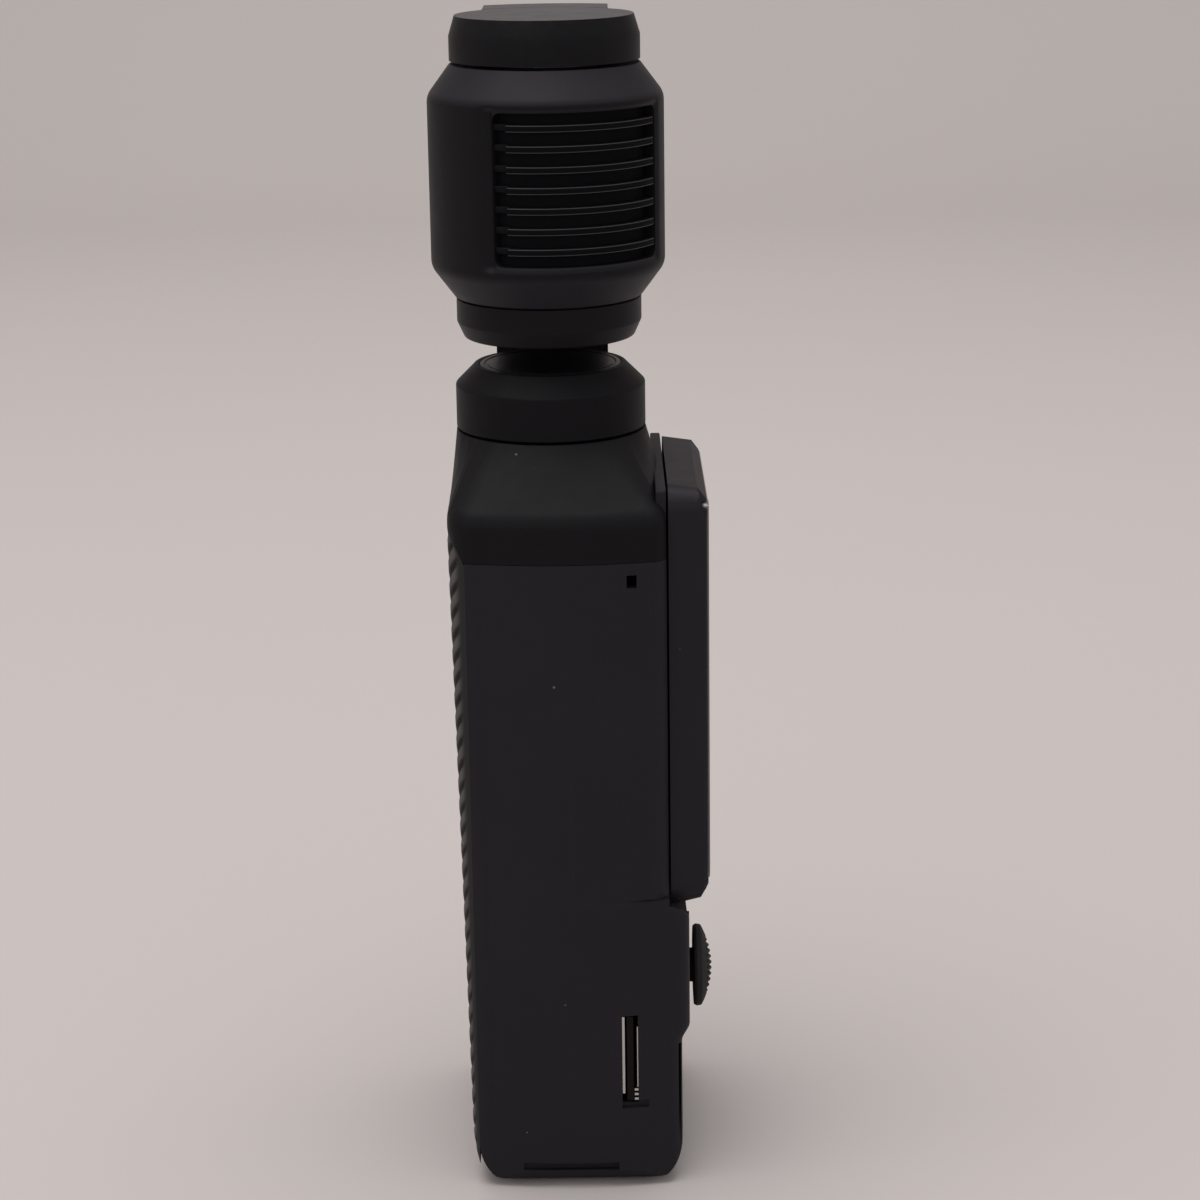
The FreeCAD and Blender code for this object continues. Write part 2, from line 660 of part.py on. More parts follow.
def heat_sink():
    """Curved plate in the barrel's window, with its ribs."""
    body = new_body("heat_sink")
    body.AllowCompound = True
    crest = "barrel_radius - sink_recess + sink_rib_depth"
    root = "barrel_radius - sink_recess"
    plate = new_sketch(body, "XZ_Plane")
    top = "sink_half_height - sink_fit"
    rectangle(plate, f"{root} - sink_plate", root, f"-({top})", top)
    spin(body, plate, angle="2 * sink_half_angle - 1")
    first = "-(sink_rib_count - 1) / 2 * sink_rib_pitch"
    ribs = new_sketch(body, "XZ_Plane")
    for order in range(int(number("sink_rib_count"))):
        low = f"{first} + {order} * sink_rib_pitch - sink_rib_thickness / 2"
        rectangle(ribs, f"{root} - 0.2", crest, low, f"{low} + sink_rib_thickness")
    spin(body, ribs, angle="2 * sink_half_angle - 4")
    return with_camera(body)


def lower_cap():
    low, high = "-head_half", "-barrel_low"
    return lay(turned("lower_cap", [
        ("0", low),
        ("lower_cap_face_radius", low),
        ("lower_cap_radius", f"{low} + lower_cap_chamfer_height"),
        ("lower_cap_radius", high),
        ("lower_cap_radius - barrel_wall", high),
        ("lower_cap_radius - barrel_wall", f"{low} + lower_cap_chamfer_height"),
        ("0", f"{low} + lower_cap_chamfer_height"),
    ]), z="head_height")


def lens_bezel():
    return along_lens(turned("lens_bezel", [
        ("bezel_bore", "bezel_seat"),
        ("bezel_radius", "bezel_seat"),
        ("bezel_radius", "bezel_front - soft_edge"),
        ("bezel_radius - soft_edge", "bezel_front"),
        ("bezel_bore + 2 * soft_edge", "bezel_front"),
        ("bezel_bore", "bezel_front - 2 * soft_edge"),
    ]))


def front_glass():
    face = "bezel_front - front_glass_drop"
    return along_lens(turned("front_glass", [
        ("0", f"{face} - front_glass_thickness"),
        ("bezel_bore - lens_fit", f"{face} - front_glass_thickness"),
        ("bezel_bore - lens_fit", f"{face} - soft_edge"),
        ("bezel_bore - lens_fit - soft_edge", face),
        ("0", face),
    ]))


def lens_tube():
    bore = "lens_tube_radius - lens_tube_wall"
    return along_lens(turned("lens_tube", [
        (bore, "lens_tube_back + sensor_thickness"),
        ("lens_tube_radius", "lens_tube_back + sensor_thickness"),
        ("lens_tube_radius", "bezel_seat - lens_tube_wall"),
        ("bezel_radius - soft_edge", "bezel_seat - lens_tube_wall"),
        ("bezel_radius - soft_edge", "bezel_seat"),
        (bore, "bezel_seat"),
    ]))


def lens_elements():
    """Convex glasses along the lens barrel, held at their rims."""
    pieces = []
    edge = number("lens_tube_radius - lens_tube_wall")
    thick = number("element_thickness")
    step = thick + number("element_gap")
    start = number("lens_tube_back + sensor_thickness + element_gap")
    for order in range(int(number("element_count"))):
        disc = DOC.addObject("Part::Feature", f"element_{order}")
        low = start + order * step
        rim = Part.makeCylinder(edge, thick, Vector(0, 0, low))
        bulge = 3 * edge
        ball = Part.makeSphere(bulge, Vector(0, 0, low + thick - bulge))
        disc.Shape = rim.common(ball)
        pieces.append(disc)
    return along_lens(joined("lens_elements", "Compound", *pieces))


def sensor_board():
    board = box("sensor_plate", "0", "0", "lens_tube_back - sensor_board_thickness", "sensor_board_side",
                "sensor_board_side", "sensor_board_thickness")
    return along_lens(joined("sensor_board", "Compound", board))


def image_sensor():
    chip = box("sensor_chip", "0", "0", "lens_tube_back", "sensor_width", "sensor_height", "sensor_thickness")
    return along_lens(joined("image_sensor", "Compound", chip))


def heat_block():
    """Block that carries the sensor's heat to the ribbed panel."""
    body = new_body("heat_block")
    far = "barrel_radius - sink_recess - sink_plate"
    half = "heat_block_side / 2"
    section = new_sketch(body, "XY_Plane", f"-{half}")
    edge = f"sqrt(pow({far}; 2) - pow({half}; 2))"
    outline(section, [
        ("sensor_board_thickness - lens_tube_back", f"-{half}"),
        (edge, f"-{half}", far),
        (edge, half),
        ("sensor_board_thickness - lens_tube_back", half),
    ])
    pad(body, section, "heat_block_side")
    return with_camera(body)


# Roll arm with the tilt motor's cap
def roll_arm():
    body = new_body("roll_arm")
    roof, bore = "head_half - cap_wall", "cap_radius - cap_wall"
    spin(body, outline(new_sketch(body, "XZ_Plane"), [
        ("0", roof),
        (bore, roof),
        (bore, "barrel_high + cap_gap"),
        ("cap_radius", "barrel_high + cap_gap"),
        ("cap_radius", "head_half - cap_chamfer_height"),
        ("cap_face_radius", "head_half"),
        ("0", "head_half"),
    ]))
    half = "arm_width / 2"
    arm_band(body, half, "cap_radius - cap_wall / 2", "head_half - arm_top_thickness", "arm_top_thickness")
    arm_band(body, half, "arm_inner_radius", "0", "head_half")
    hub = new_sketch(body, "XZ_Plane", "-hub_back")
    ring(hub, "0", "0", "roll_hub_radius")
    pad(body, hub, "hub_back - arm_inner_radius - motor_clearance")
    return lay(body, z="head_height")


def arm_band(body, half, inner, low, tall):
    """Upright band between an inner radius and the arm's outer radius, as wide as the arm."""
    outer = "arm_outer_radius"
    near = f"sqrt(pow({inner}; 2) - pow({half}; 2))"
    far = f"sqrt(pow({outer}; 2) - pow({half}; 2))"
    section = new_sketch(body, "XY_Plane", low)
    outline(section, [
        (f"-({half})", near, f"-({inner})"),
        (half, near),
        (half, far, outer),
        (f"-({half})", far),
    ])
    return pad(body, section, tall)


# Pan ring, pan arm and the roll motor's housing
def pan_ring():
    low, bore = "pan_seat_height + pan_gap", "pan_ring_radius - pan_ring_wall"
    roof = "pan_ring_top - pan_roof"
    return turned("pan_ring", [
        ("0", roof),
        (bore, roof),
        (bore, low),
        ("pan_ring_radius", low),
        ("pan_ring_radius", "pan_ring_straight"),
        ("pan_face_radius", "pan_ring_top"),
        ("pan_disc_radius + seam", "pan_ring_top"),
        ("pan_disc_radius + seam", "pan_ring_top - pan_disc_thickness"),
        ("0", "pan_ring_top - pan_disc_thickness"),
    ])


def pan_disc():
    low = "pan_ring_top - pan_disc_thickness"
    return turned("pan_disc", [("0", low), ("pan_disc_radius", low), ("pan_disc_radius", "pan_ring_top"),
                               ("0", "pan_ring_top")])


def pan_arm():
    """Foot behind the pan ring and an upright to the roll motor."""
    body = new_body("pan_arm")
    low = "pan_seat_height + pan_gap"
    front = "roll_cup_back - pan_arm_thickness"
    side = new_sketch(body, "YZ_Plane")
    outline(side, [
        ("pan_face_radius - 1", low),
        ("roll_cup_back - 2", low),
        ("roll_cup_back", f"{low} + 2"),
        ("roll_cup_back", "head_height - roll_cup_radius + 2"),
        (front, "head_height - roll_cup_radius + 2"),
        (front, f"{low} + pan_arm_foot + 1.5"),
        (f"{front} - 1.5", f"{low} + pan_arm_foot"),
        ("pan_face_radius - 1", f"{low} + pan_arm_foot"),
    ])
    pad_both(body, side, "pan_arm_width")
    back = number("roll_cup_back")
    soften(body, "pan_arm_edge", lambda edge: is_upright(edge) and abs(edge.CenterOfMass.y - back) < SAME_LENGTH)
    seat = new_sketch(body, "XY_Plane", f"{low} - 1")
    ring(seat, "0", "0", "pan_ring_radius + arm_fit")
    pocket(body, seat, "pan_arm_foot + 2")
    cup = new_sketch(body, "XZ_Plane")
    ring(cup, "0", "head_height", "roll_cup_radius + arm_fit")
    pocket(body, cup, "roll_cup_back + 1")
    return body


def backwards(thing):
    """Into the roll motor's frame: its axis along +Y, its base on the roll arm's hub."""
    thing.Placement = FreeCAD.Placement(Vector(), FreeCAD.Rotation(Vector(1, 0, 0), -90))
    return lay(thing, y="hub_back", z="head_height")


def roll_housing():
    roof = "roll_cup_back - roll_cover_thickness - hub_back"
    return backwards(tube("roll_housing", "roll_cup_radius", "roll_cup_radius - roll_cup_wall", "roll_gap", roof))


def roll_cover():
    roof = "roll_cup_back - roll_cover_thickness - hub_back"
    back = "roll_cup_back - hub_back"
    return backwards(turned("roll_cover", [
        ("0", roof),
        ("roll_cup_radius", roof),
        ("roll_cup_radius", f"{back} - soft_edge"),
        ("roll_cup_radius - soft_edge", back),
        ("0", back),
    ]))


# Handle. In plan its front and back are flat, its sides bulge a little and its corners are round.

def plan(sketch, front, back, inset="0", round_front=True):
    """The handle's section, drawn in by inset. Cut off flat at front where round_front is false."""
    half = f"(crown_edge - ({inset}))"
    turn_in = "(grip_top_front - front_round)"
    corner = f"(front_round - ({inset}))"
    chord = f"({turn_in} + {back} - back_round)"
    bulge = f"(pow({chord}; 2) / 4 + pow(side_crown; 2)) / (2 * side_crown)"
    back_corner = f"(back_round - ({inset}) * back_round / (back_round + {inset}))"
    start = f"{half} - {corner}"
    if not round_front:
        start = f"{half} - {corner} + sqrt(pow({corner}; 2) - pow({front} - {turn_in}; 2))"
    last = f"{back} - {back_corner}"
    return outline(sketch, [
        (f"-({front})", f"-({start})", corner),
        (f"-{turn_in}", f"-{half}", bulge),
        (last, f"-{half}", back_corner),
        (back, f"-({half} - {back_corner})"),
        (back, f"{half} - {back_corner}", back_corner),
        (last, half, bulge),
        (f"-{turn_in}", half, corner),
        (f"-({front})", start),
    ])


def rounded(sketch, left, right, low, high, corner):
    return outline(sketch, [
        (f"{left} + {corner}", low),
        (f"{right} - {corner}", low, corner),
        (right, f"{low} + {corner}"),
        (right, f"{high} - {corner}", corner),
        (f"{right} - {corner}", high),
        (f"{left} + {corner}", high, corner),
        (left, f"{high} - {corner}"),
        (left, f"{low} + {corner}", corner),
    ])


def cut_outward(body, sketch, length):
    """A pocket towards the sketch's own normal."""
    item = body.newObject("PartDesign::Pocket", "cut")
    item.Profile = sketch
    item.Reversed = True
    bind(item, Length=length)
    DOC.recompute()
    return item


def handle_shell():
    body = new_body("handle_shell")
    pad(body, plan(new_sketch(body, "XY_Plane"), "shell_front", "shell_back", round_front=False), "shell_top")
    reach = "screen_centre - sqrt(pow(pad_sweep; 2) - pow(shell_half; 2))"
    pad(body, plan(new_sketch(body, "XY_Plane"), "shell_front", "lower_back", round_front=False), reach)
    raised_pad(body, reach)
    sweep = new_sketch(body, "YZ_Plane", "shell_back")
    ring(sweep, "0", "screen_centre", "pad_sweep")
    cut_outward(body, sweep, "pad_back")
    round_bottom(body)
    hollow = plan(new_sketch(body, "XY_Plane", "shell_top"), "inner_front", "inner_back", "shell_wall", round_front=False)
    pocket(body, hollow, "shell_top - shell_floor")
    plate_recess(body)
    control_openings(body)
    side_openings(body)
    socket = new_sketch(body, "XY_Plane", "shell_floor")
    rounded(socket, f"socket_across - socket_thickness / 2 - seam", f"socket_across + socket_thickness / 2 + seam",
            "-socket_width / 2 - seam", "socket_width / 2 + seam", "socket_thickness / 2")
    pocket(body, socket, "shell_floor + 1")
    return body


def raised_pad(body, reach):
    """Pad that lifts the joystick and record button above the lower back."""
    section = new_sketch(body, "XZ_Plane")
    outline(section, [
        ("shell_back", "pad_bottom - pad_slope"),
        ("lower_back", "pad_bottom - pad_slope"),
        ("pad_back", "pad_bottom + pad_slope / 2"),
        ("pad_back", reach),
        ("shell_back", reach),
    ])
    pad_both(body, section, "2 * pad_half")


def round_bottom(body):
    """Round lower corners, as seen from the card slot's side."""
    corners = new_sketch(body, "XZ_Plane")
    for edge, way in (("lower_back", 1), ("-shell_front", -1)):
        out = f"{edge} + {way}"
        inside = f"{edge} - {way} * bottom_round"
        points = [(inside, "-1"), (out, "-1"), (out, "bottom_round"), (edge, "bottom_round", "-bottom_round"),
                  (inside, "0")]
        if way < 0:
            points = [(inside, "-1"), (inside, "0", "-bottom_round"), (edge, "bottom_round"), (out, "bottom_round"),
                      (out, "-1")]
        outline(corners, points)
    pocket_through(body, corners)
    edges = new_sketch(body, "YZ_Plane")
    inside = "shell_half - bottom_edge"
    outline(edges, [(inside, "-1"), ("shell_half + 1", "-1"), ("shell_half + 1", "bottom_edge"),
                    ("shell_half", "bottom_edge", "-bottom_edge"), (inside, "0")])
    outline(edges, [(f"-({inside})", "-1"), (f"-({inside})", "0", "-bottom_edge"), ("-shell_half", "bottom_edge"),
                    ("-shell_half - 1", "bottom_edge"), ("-shell_half - 1", "-1")])
    pocket_through(body, edges)


def plate_recess(body):
    recess = new_sketch(body, "YZ_Plane", "shell_back - screen_plate_thickness")
    rectangle(recess, "-screen_half_width", "screen_half_width", "screen_centre - screen_half_length",
              "screen_plate_top")
    cut_outward(body, recess, "2 * screen_plate_thickness")
    bore = new_sketch(body, "YZ_Plane", "shell_back")
    ring(bore, "0", "screen_centre", "pivot_bearing")
    pocket(body, bore, "2 * screen_plate_thickness + 2 * shell_wall")


def control_openings(body):
    dish = new_sketch(body, "YZ_Plane", "dish_floor")
    ring(dish, "-stick_side", "stick_height", "dish_radius")
    cut_outward(body, dish, "pad_back")
    room = new_sketch(body, "YZ_Plane", "dish_floor - module_wall")
    ring(room, "-stick_side", "stick_height", "dish_radius - module_wall")
    pocket(body, room, "lower_back")
    stem = new_sketch(body, "YZ_Plane", "dish_floor")
    ring(stem, "-stick_side", "stick_height", "2 * stick_stem")
    pocket(body, stem, "lower_back")
    button = new_sketch(body, "YZ_Plane", "pad_back")
    ring(button, "stick_side", "stick_height", "button_radius + button_ring + seam")
    pocket(body, button, "lower_back")


def side_openings(body):
    slot = new_sketch(body, "XZ_Plane", "shell_half + 1")
    rectangle(slot, "card_across - card_slot_width / 2", "card_across + card_slot_width / 2", "card_low",
              "card_low + card_length")
    pocket(body, slot, "1 + 2 * side_crown + shell_wall + 1")
    nail = new_sketch(body, "XZ_Plane", "shell_half + 1")
    rectangle(nail, "card_across - card_slot_width / 2", "card_across - card_slot_width / 2 + thumb_width",
              "card_low - thumb_recess", "card_low + thumb_recess")
    pocket(body, nail, "1 + side_crown")
    sound = new_sketch(body, "XZ_Plane", "shell_half + 1")
    rectangle(sound, "mic_across - mic_width / 2", "mic_across + mic_width / 2", "mic_height - mic_length / 2",
              "mic_height + mic_length / 2")
    pocket(body, sound, "1 + 2 * side_crown + shell_wall + 1")
    for plane, length in (("shell_half + 1", "1 + catch_depth"), ("-(shell_half - catch_depth)", "1 + catch_depth")):
        notch = new_sketch(body, "XZ_Plane", plane)
        rectangle(notch, "-catch_front", "catch_back", "catch_low", "catch_low + catch_tall")
        pocket(body, notch, length)


def seat_ring(sketch, radius):
    """Circle in eight arcs that match the eight edges of the handle's plan."""
    spots = (-140, -115, -65, -40, 40, 65, 115, 140)
    return outline(sketch, [(f"({radius}) * cos({spot})", f"({radius}) * sin({spot})", radius) for spot in spots])


def loft(body, kind, *sections):
    item = body.newObject(f"PartDesign::{kind}", "loft")
    item.Profile = sections[0]
    item.Sections = list(sections[1:])
    DOC.recompute()
    return item


def shoulder_cover():
    body = new_body("shoulder_cover")
    low = "shell_top + seam"
    pad(body, plan(new_sketch(body, "XY_Plane", low), "grip_top_front", "shell_back"), f"shoulder_straight - ({low})")
    base = plan(new_sketch(body, "XY_Plane", "shoulder_straight"), "grip_top_front", "shell_back")
    seat = seat_ring(new_sketch(body, "XY_Plane", "pan_seat_height"), "pan_ring_radius")
    loft(body, "AdditiveLoft", base, seat)
    brow = number("shoulder_straight")
    soften(body, "shoulder_round", lambda edge: abs(edge.BoundBox.ZMin - brow) + edge.BoundBox.ZLength < SAME_LENGTH)
    inner_top = "shoulder_straight - shell_wall"
    hollow = plan(new_sketch(body, "XY_Plane", inner_top), "inner_front", "inner_back", "shell_wall", round_front=False)
    pocket(body, hollow, "shoulder_straight - shell_top")
    inner = plan(new_sketch(body, "XY_Plane", inner_top), "inner_front", "inner_back", "shell_wall", round_front=False)
    roof = seat_ring(new_sketch(body, "XY_Plane", "pan_seat_height - 1.5 * shell_wall"), "motor_flange_radius")
    loft(body, "SubtractiveLoft", inner, roof)
    wedge = new_sketch(body, "XZ_Plane")
    outline(wedge, [
        ("-grip_top_front - 1", "shell_top - 1"),
        ("-shell_front", "shell_top - 1"),
        ("-shell_front", "grip_corner + seam"),
        ("-grip_top_front", "grip_top + seam"),
        ("-grip_top_front - 1", "grip_top + seam"),
    ])
    pocket_through(body, wedge)
    recess = new_sketch(body, "YZ_Plane", "shell_back - screen_plate_thickness")
    rectangle(recess, "-screen_half_width", "screen_half_width", "shell_top - 1", "screen_plate_top")
    cut_outward(body, recess, "2 * screen_plate_thickness")
    hole = new_sketch(body, "XY_Plane", "pan_seat_height")
    ring(hole, "0", "0", "post_bore")
    pocket(body, hole, "3 * shell_wall")
    return body


def front_grip():
    """Soft insert on the handle's front, with slanted grooves between its ribs."""
    body = new_body("grip_block")
    section = new_sketch(body, "XY_Plane", "grip_bottom")
    turn_in = "(grip_top_front - front_round)"
    half = "crown_edge"
    seam_half = f"({half} - front_round + sqrt(pow(front_round; 2) - pow(shell_front - {turn_in}; 2)))"
    outline(section, [
        ("-grip_top_front", f"front_round - {half}", "front_round"),
        ("-shell_front", f"-{seam_half}"),
        ("-shell_front", seam_half, "front_round"),
        ("-grip_top_front", f"{half} - front_round"),
    ])
    pad(body, section, "grip_top - grip_bottom")
    side = new_sketch(body, "XZ_Plane")
    outline(side, [
        ("-grip_top_front - 1", "grip_bottom - 1"),
        ("-shell_front - 0.2", "grip_bottom - 1"),
        ("-shell_front - 0.2", "grip_bottom"),
        ("-grip_low_front", "grip_rib_bottom"),
        ("-grip_top_front", "grip_rib_top"),
        ("-grip_top_front - 1", "grip_rib_top"),
    ])
    pocket_through(body, side)
    corner = new_sketch(body, "XZ_Plane")
    outline(corner, [
        ("-grip_top_front", "grip_top"),
        ("-shell_front", "grip_corner"),
        ("-shell_front + 1", "grip_corner"),
        ("-shell_front + 1", "grip_top + 1"),
        ("-grip_top_front", "grip_top + 1"),
    ])
    pocket_through(body, corner)
    return cut_grooves(body)


def cut_grooves(block):
    """Slanted grooves, cut to one depth below the grip's sloping face."""
    tall, slant = "(grip_rib_top - grip_rib_bottom)", "tan(grip_rib_slant)"
    groove = "(grip_rib_pitch - grip_rib_height)"
    count = int(number(f"({tall} + 2 * shell_half * {slant}) / grip_rib_pitch"))
    grooves = []
    for order in range(count):
        middle = f"(shell_half * {slant} - {order + 0.5} * grip_rib_pitch)"
        left = f"max(-shell_half; ({middle} + {groove} / 2) / {slant})"
        right = f"min(shell_half; ({middle} + {tall} - {groove} / 2) / {slant})"
        if number(right) - number(left) > number("grip_rib_pitch"):
            grooves.append(groove_bar(middle, left, right, groove))
    return joined("front_grip", "Cut", block, joined("grip_grooves", "Compound", *grooves))


def groove_bar(middle, left, right, groove):
    """The space of one groove, from one side of the grip to the other."""
    bar = DOC.addObject("Part::Box", "groove_bar")
    bind(bar, Length=f"({right} - {left}) / cos(grip_rib_slant)",
         Width=f"{groove} * cos(grip_rib_slant)", Height="grip_thickness")
    start = Vector(number(left), number(f"{middle} - {left} * tan(grip_rib_slant)"),
                   -number("grip_thickness"))
    slanted = FreeCAD.Placement(start, FreeCAD.Rotation(Vector(0, 0, 1), -number("grip_rib_slant")))
    aside = FreeCAD.Placement(Vector(0, -bar.Width.Value / 2, 0), FreeCAD.Rotation())
    bar.Placement = grip_face() * slanted * aside
    return bar


def grip_face():
    """The plane of the grooves' floors: across the grip, up it, and inwards, from the ribs' upper end."""
    upright = FreeCAD.Rotation(Vector(0, 1, 0), Vector(0, 0, 1), Vector(1, 0, 0), "ZXY")
    slope = number("atan(grip_taper / (grip_rib_top - grip_rib_bottom))")
    upper_end = Vector(number("grip_groove_depth - grip_top_front"), 0, number("grip_rib_top"))
    return FreeCAD.Placement(upper_end, upright * FreeCAD.Rotation(Vector(1, 0, 0), -slope))


def screen_plate():
    """Fixed plate that the screen turns against."""
    body = new_body("screen_plate")
    section = new_sketch(body, "YZ_Plane", "shell_back - screen_plate_thickness")
    half = "screen_half_width - seam"
    rounded(section, f"-({half})", half, "screen_centre - screen_half_length + seam", "screen_plate_top - seam", "0.5")
    ring(section, "0", "screen_centre", "pivot_bearing")
    pad(body, section, "screen_plate_thickness")
    return body


def pivot_bearing():
    body = new_body("pivot_bearing")
    section = new_sketch(body, "YZ_Plane", "inner_back")
    ring(section, "0", "screen_centre", "pivot_bearing - seam", "pivot_radius + pivot_fit")
    pad(body, section, "screen_plate_thickness + shell_wall")
    return body


def screen_pivot():
    """Hollow pivot on the screen's back, with a flange inside the handle that keeps it there."""
    body = new_body("screen_pivot")
    flange_back = "inner_back - inner_gap"
    flange = new_sketch(body, "YZ_Plane", f"{flange_back} - pivot_flange_thickness")
    ring(flange, "0", "screen_centre", "pivot_flange", "pivot_bore")
    pad(body, flange, "pivot_flange_thickness")
    stem = new_sketch(body, "YZ_Plane", flange_back)
    ring(stem, "0", "screen_centre", "pivot_radius", "pivot_bore")
    pad(body, stem, f"shell_back + screen_gap - ({flange_back})")
    return body


def screen_block(body, offset, length, inset, corner, cut=False):
    section = new_sketch(body, "YZ_Plane", offset)
    wide, tall = f"(screen_half_width - ({inset}))", f"(screen_half_length - ({inset}))"
    rounded(section, f"-{wide}", wide, f"screen_centre - {tall}", f"screen_centre + {tall}", corner)
    if cut:
        return cut_outward(body, section, length)
    return pad(body, section, length)


def screen_housing():
    body = new_body("screen_housing")
    back = "shell_back + screen_gap"
    block = screen_block(body, back, f"screen_face - ({back})", "0", "screen_corner")
    bind(block, TaperAngle="-screen_draft")
    DOC.recompute()
    screen_block(body, f"{back} + screen_back_wall", "screen_face", "glass_inset + display_border",
                 "screen_corner / 2", cut=True)
    screen_block(body, "screen_face + glass_proud - glass_thickness", "screen_face", "glass_inset",
                 "screen_corner / 2 + display_border", cut=True)
    return body


def display_panel():
    body = new_body("display_panel")
    low = "shell_back + screen_gap + screen_back_wall"
    screen_block(body, low, f"screen_face + glass_proud - glass_thickness - ({low})",
                 "glass_inset + display_border + seam", "screen_corner / 2")
    return body


def screen_glass():
    body = new_body("screen_glass")
    screen_block(body, "screen_face + glass_proud - glass_thickness", "glass_thickness", "glass_inset + seam",
                 "screen_corner / 2 + display_border")
    return body


# Joystick and record button, turned about an axis along +X
def towards_screen(thing, side):
    thing.Placement = FreeCAD.Placement(Vector(), FreeCAD.Rotation(Vector(0, 1, 0), 90))
    return lay(thing, y=side, z="stick_height")


def joystick_cap():
    dome = "(stick_front - stick_back - stick_rim)"
    bulge = f"(pow(stick_radius; 2) + pow({dome}; 2)) / (2 * {dome})"
    body = turned("joystick_cap", [
        ("0", "stick_pivot + yoke_ring + stick_press_room"),
        ("stick_stem / 2", "stick_pivot + yoke_ring + stick_press_room"),
        ("stick_stem / 2", "stick_back - 0.8"),
        ("stick_stem", "stick_back"),
        ("stick_radius - soft_edge", "stick_back"),
        ("stick_radius", "stick_back + soft_edge"),
        ("stick_radius", "stick_back + stick_rim", bulge),
        ("0", "stick_front"),
    ])
    return towards_screen(body, "-stick_side")


def joystick_hub():
    """Ball at the heart of the joystick, which swings from side to side."""
    reach = "yoke_ring"
    body = turned("joystick_hub", [
        ("0", f"stick_pivot - {reach}"),
        ("stick_stem / 2", f"stick_pivot - {reach}"),
        ("stick_stem / 2", f"stick_pivot + {reach}"),
        ("0", f"stick_pivot + {reach}"),
    ])
    return towards_screen(body, "-stick_side")


def joystick_yoke():
    """Ring that rocks up and down, round the hub."""
    inner = "stick_stem / 2 + yoke_gap"
    body = tube("joystick_yoke", f"{inner} + yoke_ring", inner, "stick_pivot - yoke_ring / 2",
                "stick_pivot + yoke_ring / 2")
    return towards_screen(body, "-stick_side")


def joystick_module():
    """Round can behind the joystick, with the post and collar that hold its rings."""
    outer = "dish_radius - module_wall - 2 * seam"
    front = "dish_floor - module_wall - seam"
    opening = "2 * stick_stem"
    floor = f"{front} - module_depth + module_wall"
    collar = "(stick_stem / 2 + 2 * yoke_gap + yoke_ring)"
    body = turned("joystick_module", [
        ("0", f"{front} - module_depth"),
        (outer, f"{front} - module_depth"),
        (outer, front),
        (opening, front),
        (opening, f"{front} - module_wall"),
        (f"{outer} - module_wall", f"{front} - module_wall"),
        (f"{outer} - module_wall", floor),
        (f"{collar} + module_wall", floor),
        (f"{collar} + module_wall", "stick_pivot"),
        (collar, "stick_pivot"),
        (collar, floor),
        ("stick_stem / 2", floor),
        ("stick_stem / 2", "stick_pivot - yoke_ring - yoke_gap"),
        ("0", "stick_pivot - yoke_ring - yoke_gap"),
    ])
    return towards_screen(body, "-stick_side")


def record_button():
    return towards_screen(turned("record_button", [
        ("0", "pad_back - button_thickness"),
        ("button_radius - button_fit", "pad_back - button_thickness"),
        ("button_radius - button_fit", "pad_back - soft_edge"),
        ("button_radius - button_fit - soft_edge", "pad_back"),
        ("0", "pad_back - soft_edge"),
    ]), "stick_side")


def record_ring():
    low = "pad_back - button_thickness"
    return towards_screen(tube("record_ring", "button_radius + button_ring", "button_radius", low, "pad_back"),
                          "stick_side")


def record_switch():
    """Click switch behind the record button, on a stand from the main board."""
    top = "pad_back - button_thickness - button_travel_room"
    return towards_screen(turned("record_switch", [
        ("0", "board_back"),
        ("button_radius + button_ring", "board_back"),
        ("button_radius + button_ring", f"{top} - 1"),
        ("stick_stem", f"{top} - 1"),
        ("stick_stem", top),
        ("0", top),
    ]), "stick_side")


# Card slot, socket and what lies inside the handle
def card_cage():
    """Folded sheet round the card, open towards the slot."""
    body = new_body("card_cage")
    section = new_sketch(body, "XZ_Plane", "shell_half - shell_wall - side_crown - 1.2")
    inner = "card_slot_width / 2"
    left, right = f"card_across - {inner}", f"card_across + {inner}"
    low, high = "card_low", "card_low + card_length"
    rectangle(section, left, right, low, high)
    rectangle(section, f"{left} - cage_wall", f"{right} + cage_wall", f"{low} - cage_wall", f"{high} + cage_wall")
    pad(body, section, "cage_depth", reversed_way=True)
    return body


def memory_card():
    body = new_body("memory_card")
    section = new_sketch(body, "XZ_Plane", "shell_half - card_inset")
    middle = "card_low + card_length / 2"
    rounded(section, "card_across - card_thickness / 2", "card_across + card_thickness / 2",
            f"{middle} - card_width / 2", f"{middle} + card_width / 2", "0.2")
    pad(body, section, "card_depth", reversed_way=True)
    return body


def data_socket():
    body = new_body("data_socket")
    section = new_sketch(body, "XY_Plane", "socket_lip")
    thick, wide = "socket_thickness / 2", "socket_width / 2"
    rounded(section, f"socket_across - {thick}", f"socket_across + {thick}", f"-{wide}", wide, f"({thick} - 0.01)")
    pad(body, section, "socket_depth")
    mouth = new_sketch(body, "XY_Plane", "socket_lip")
    slim, narrow = f"({thick} - socket_wall)", f"({wide} - socket_wall)"
    rounded(mouth, f"socket_across - {slim}", f"socket_across + {slim}", f"-{narrow}", narrow, f"({slim} - 0.01)")
    cut_outward(body, mouth, "socket_depth - 2 * socket_wall")
    tongue = new_sketch(body, "XY_Plane", "socket_lip + 1")
    rectangle(tongue, f"socket_across - tongue_thickness / 2", f"socket_across + tongue_thickness / 2",
              "-tongue_width / 2", "tongue_width / 2")
    pad(body, tongue, "socket_depth - 1.5")
    return body


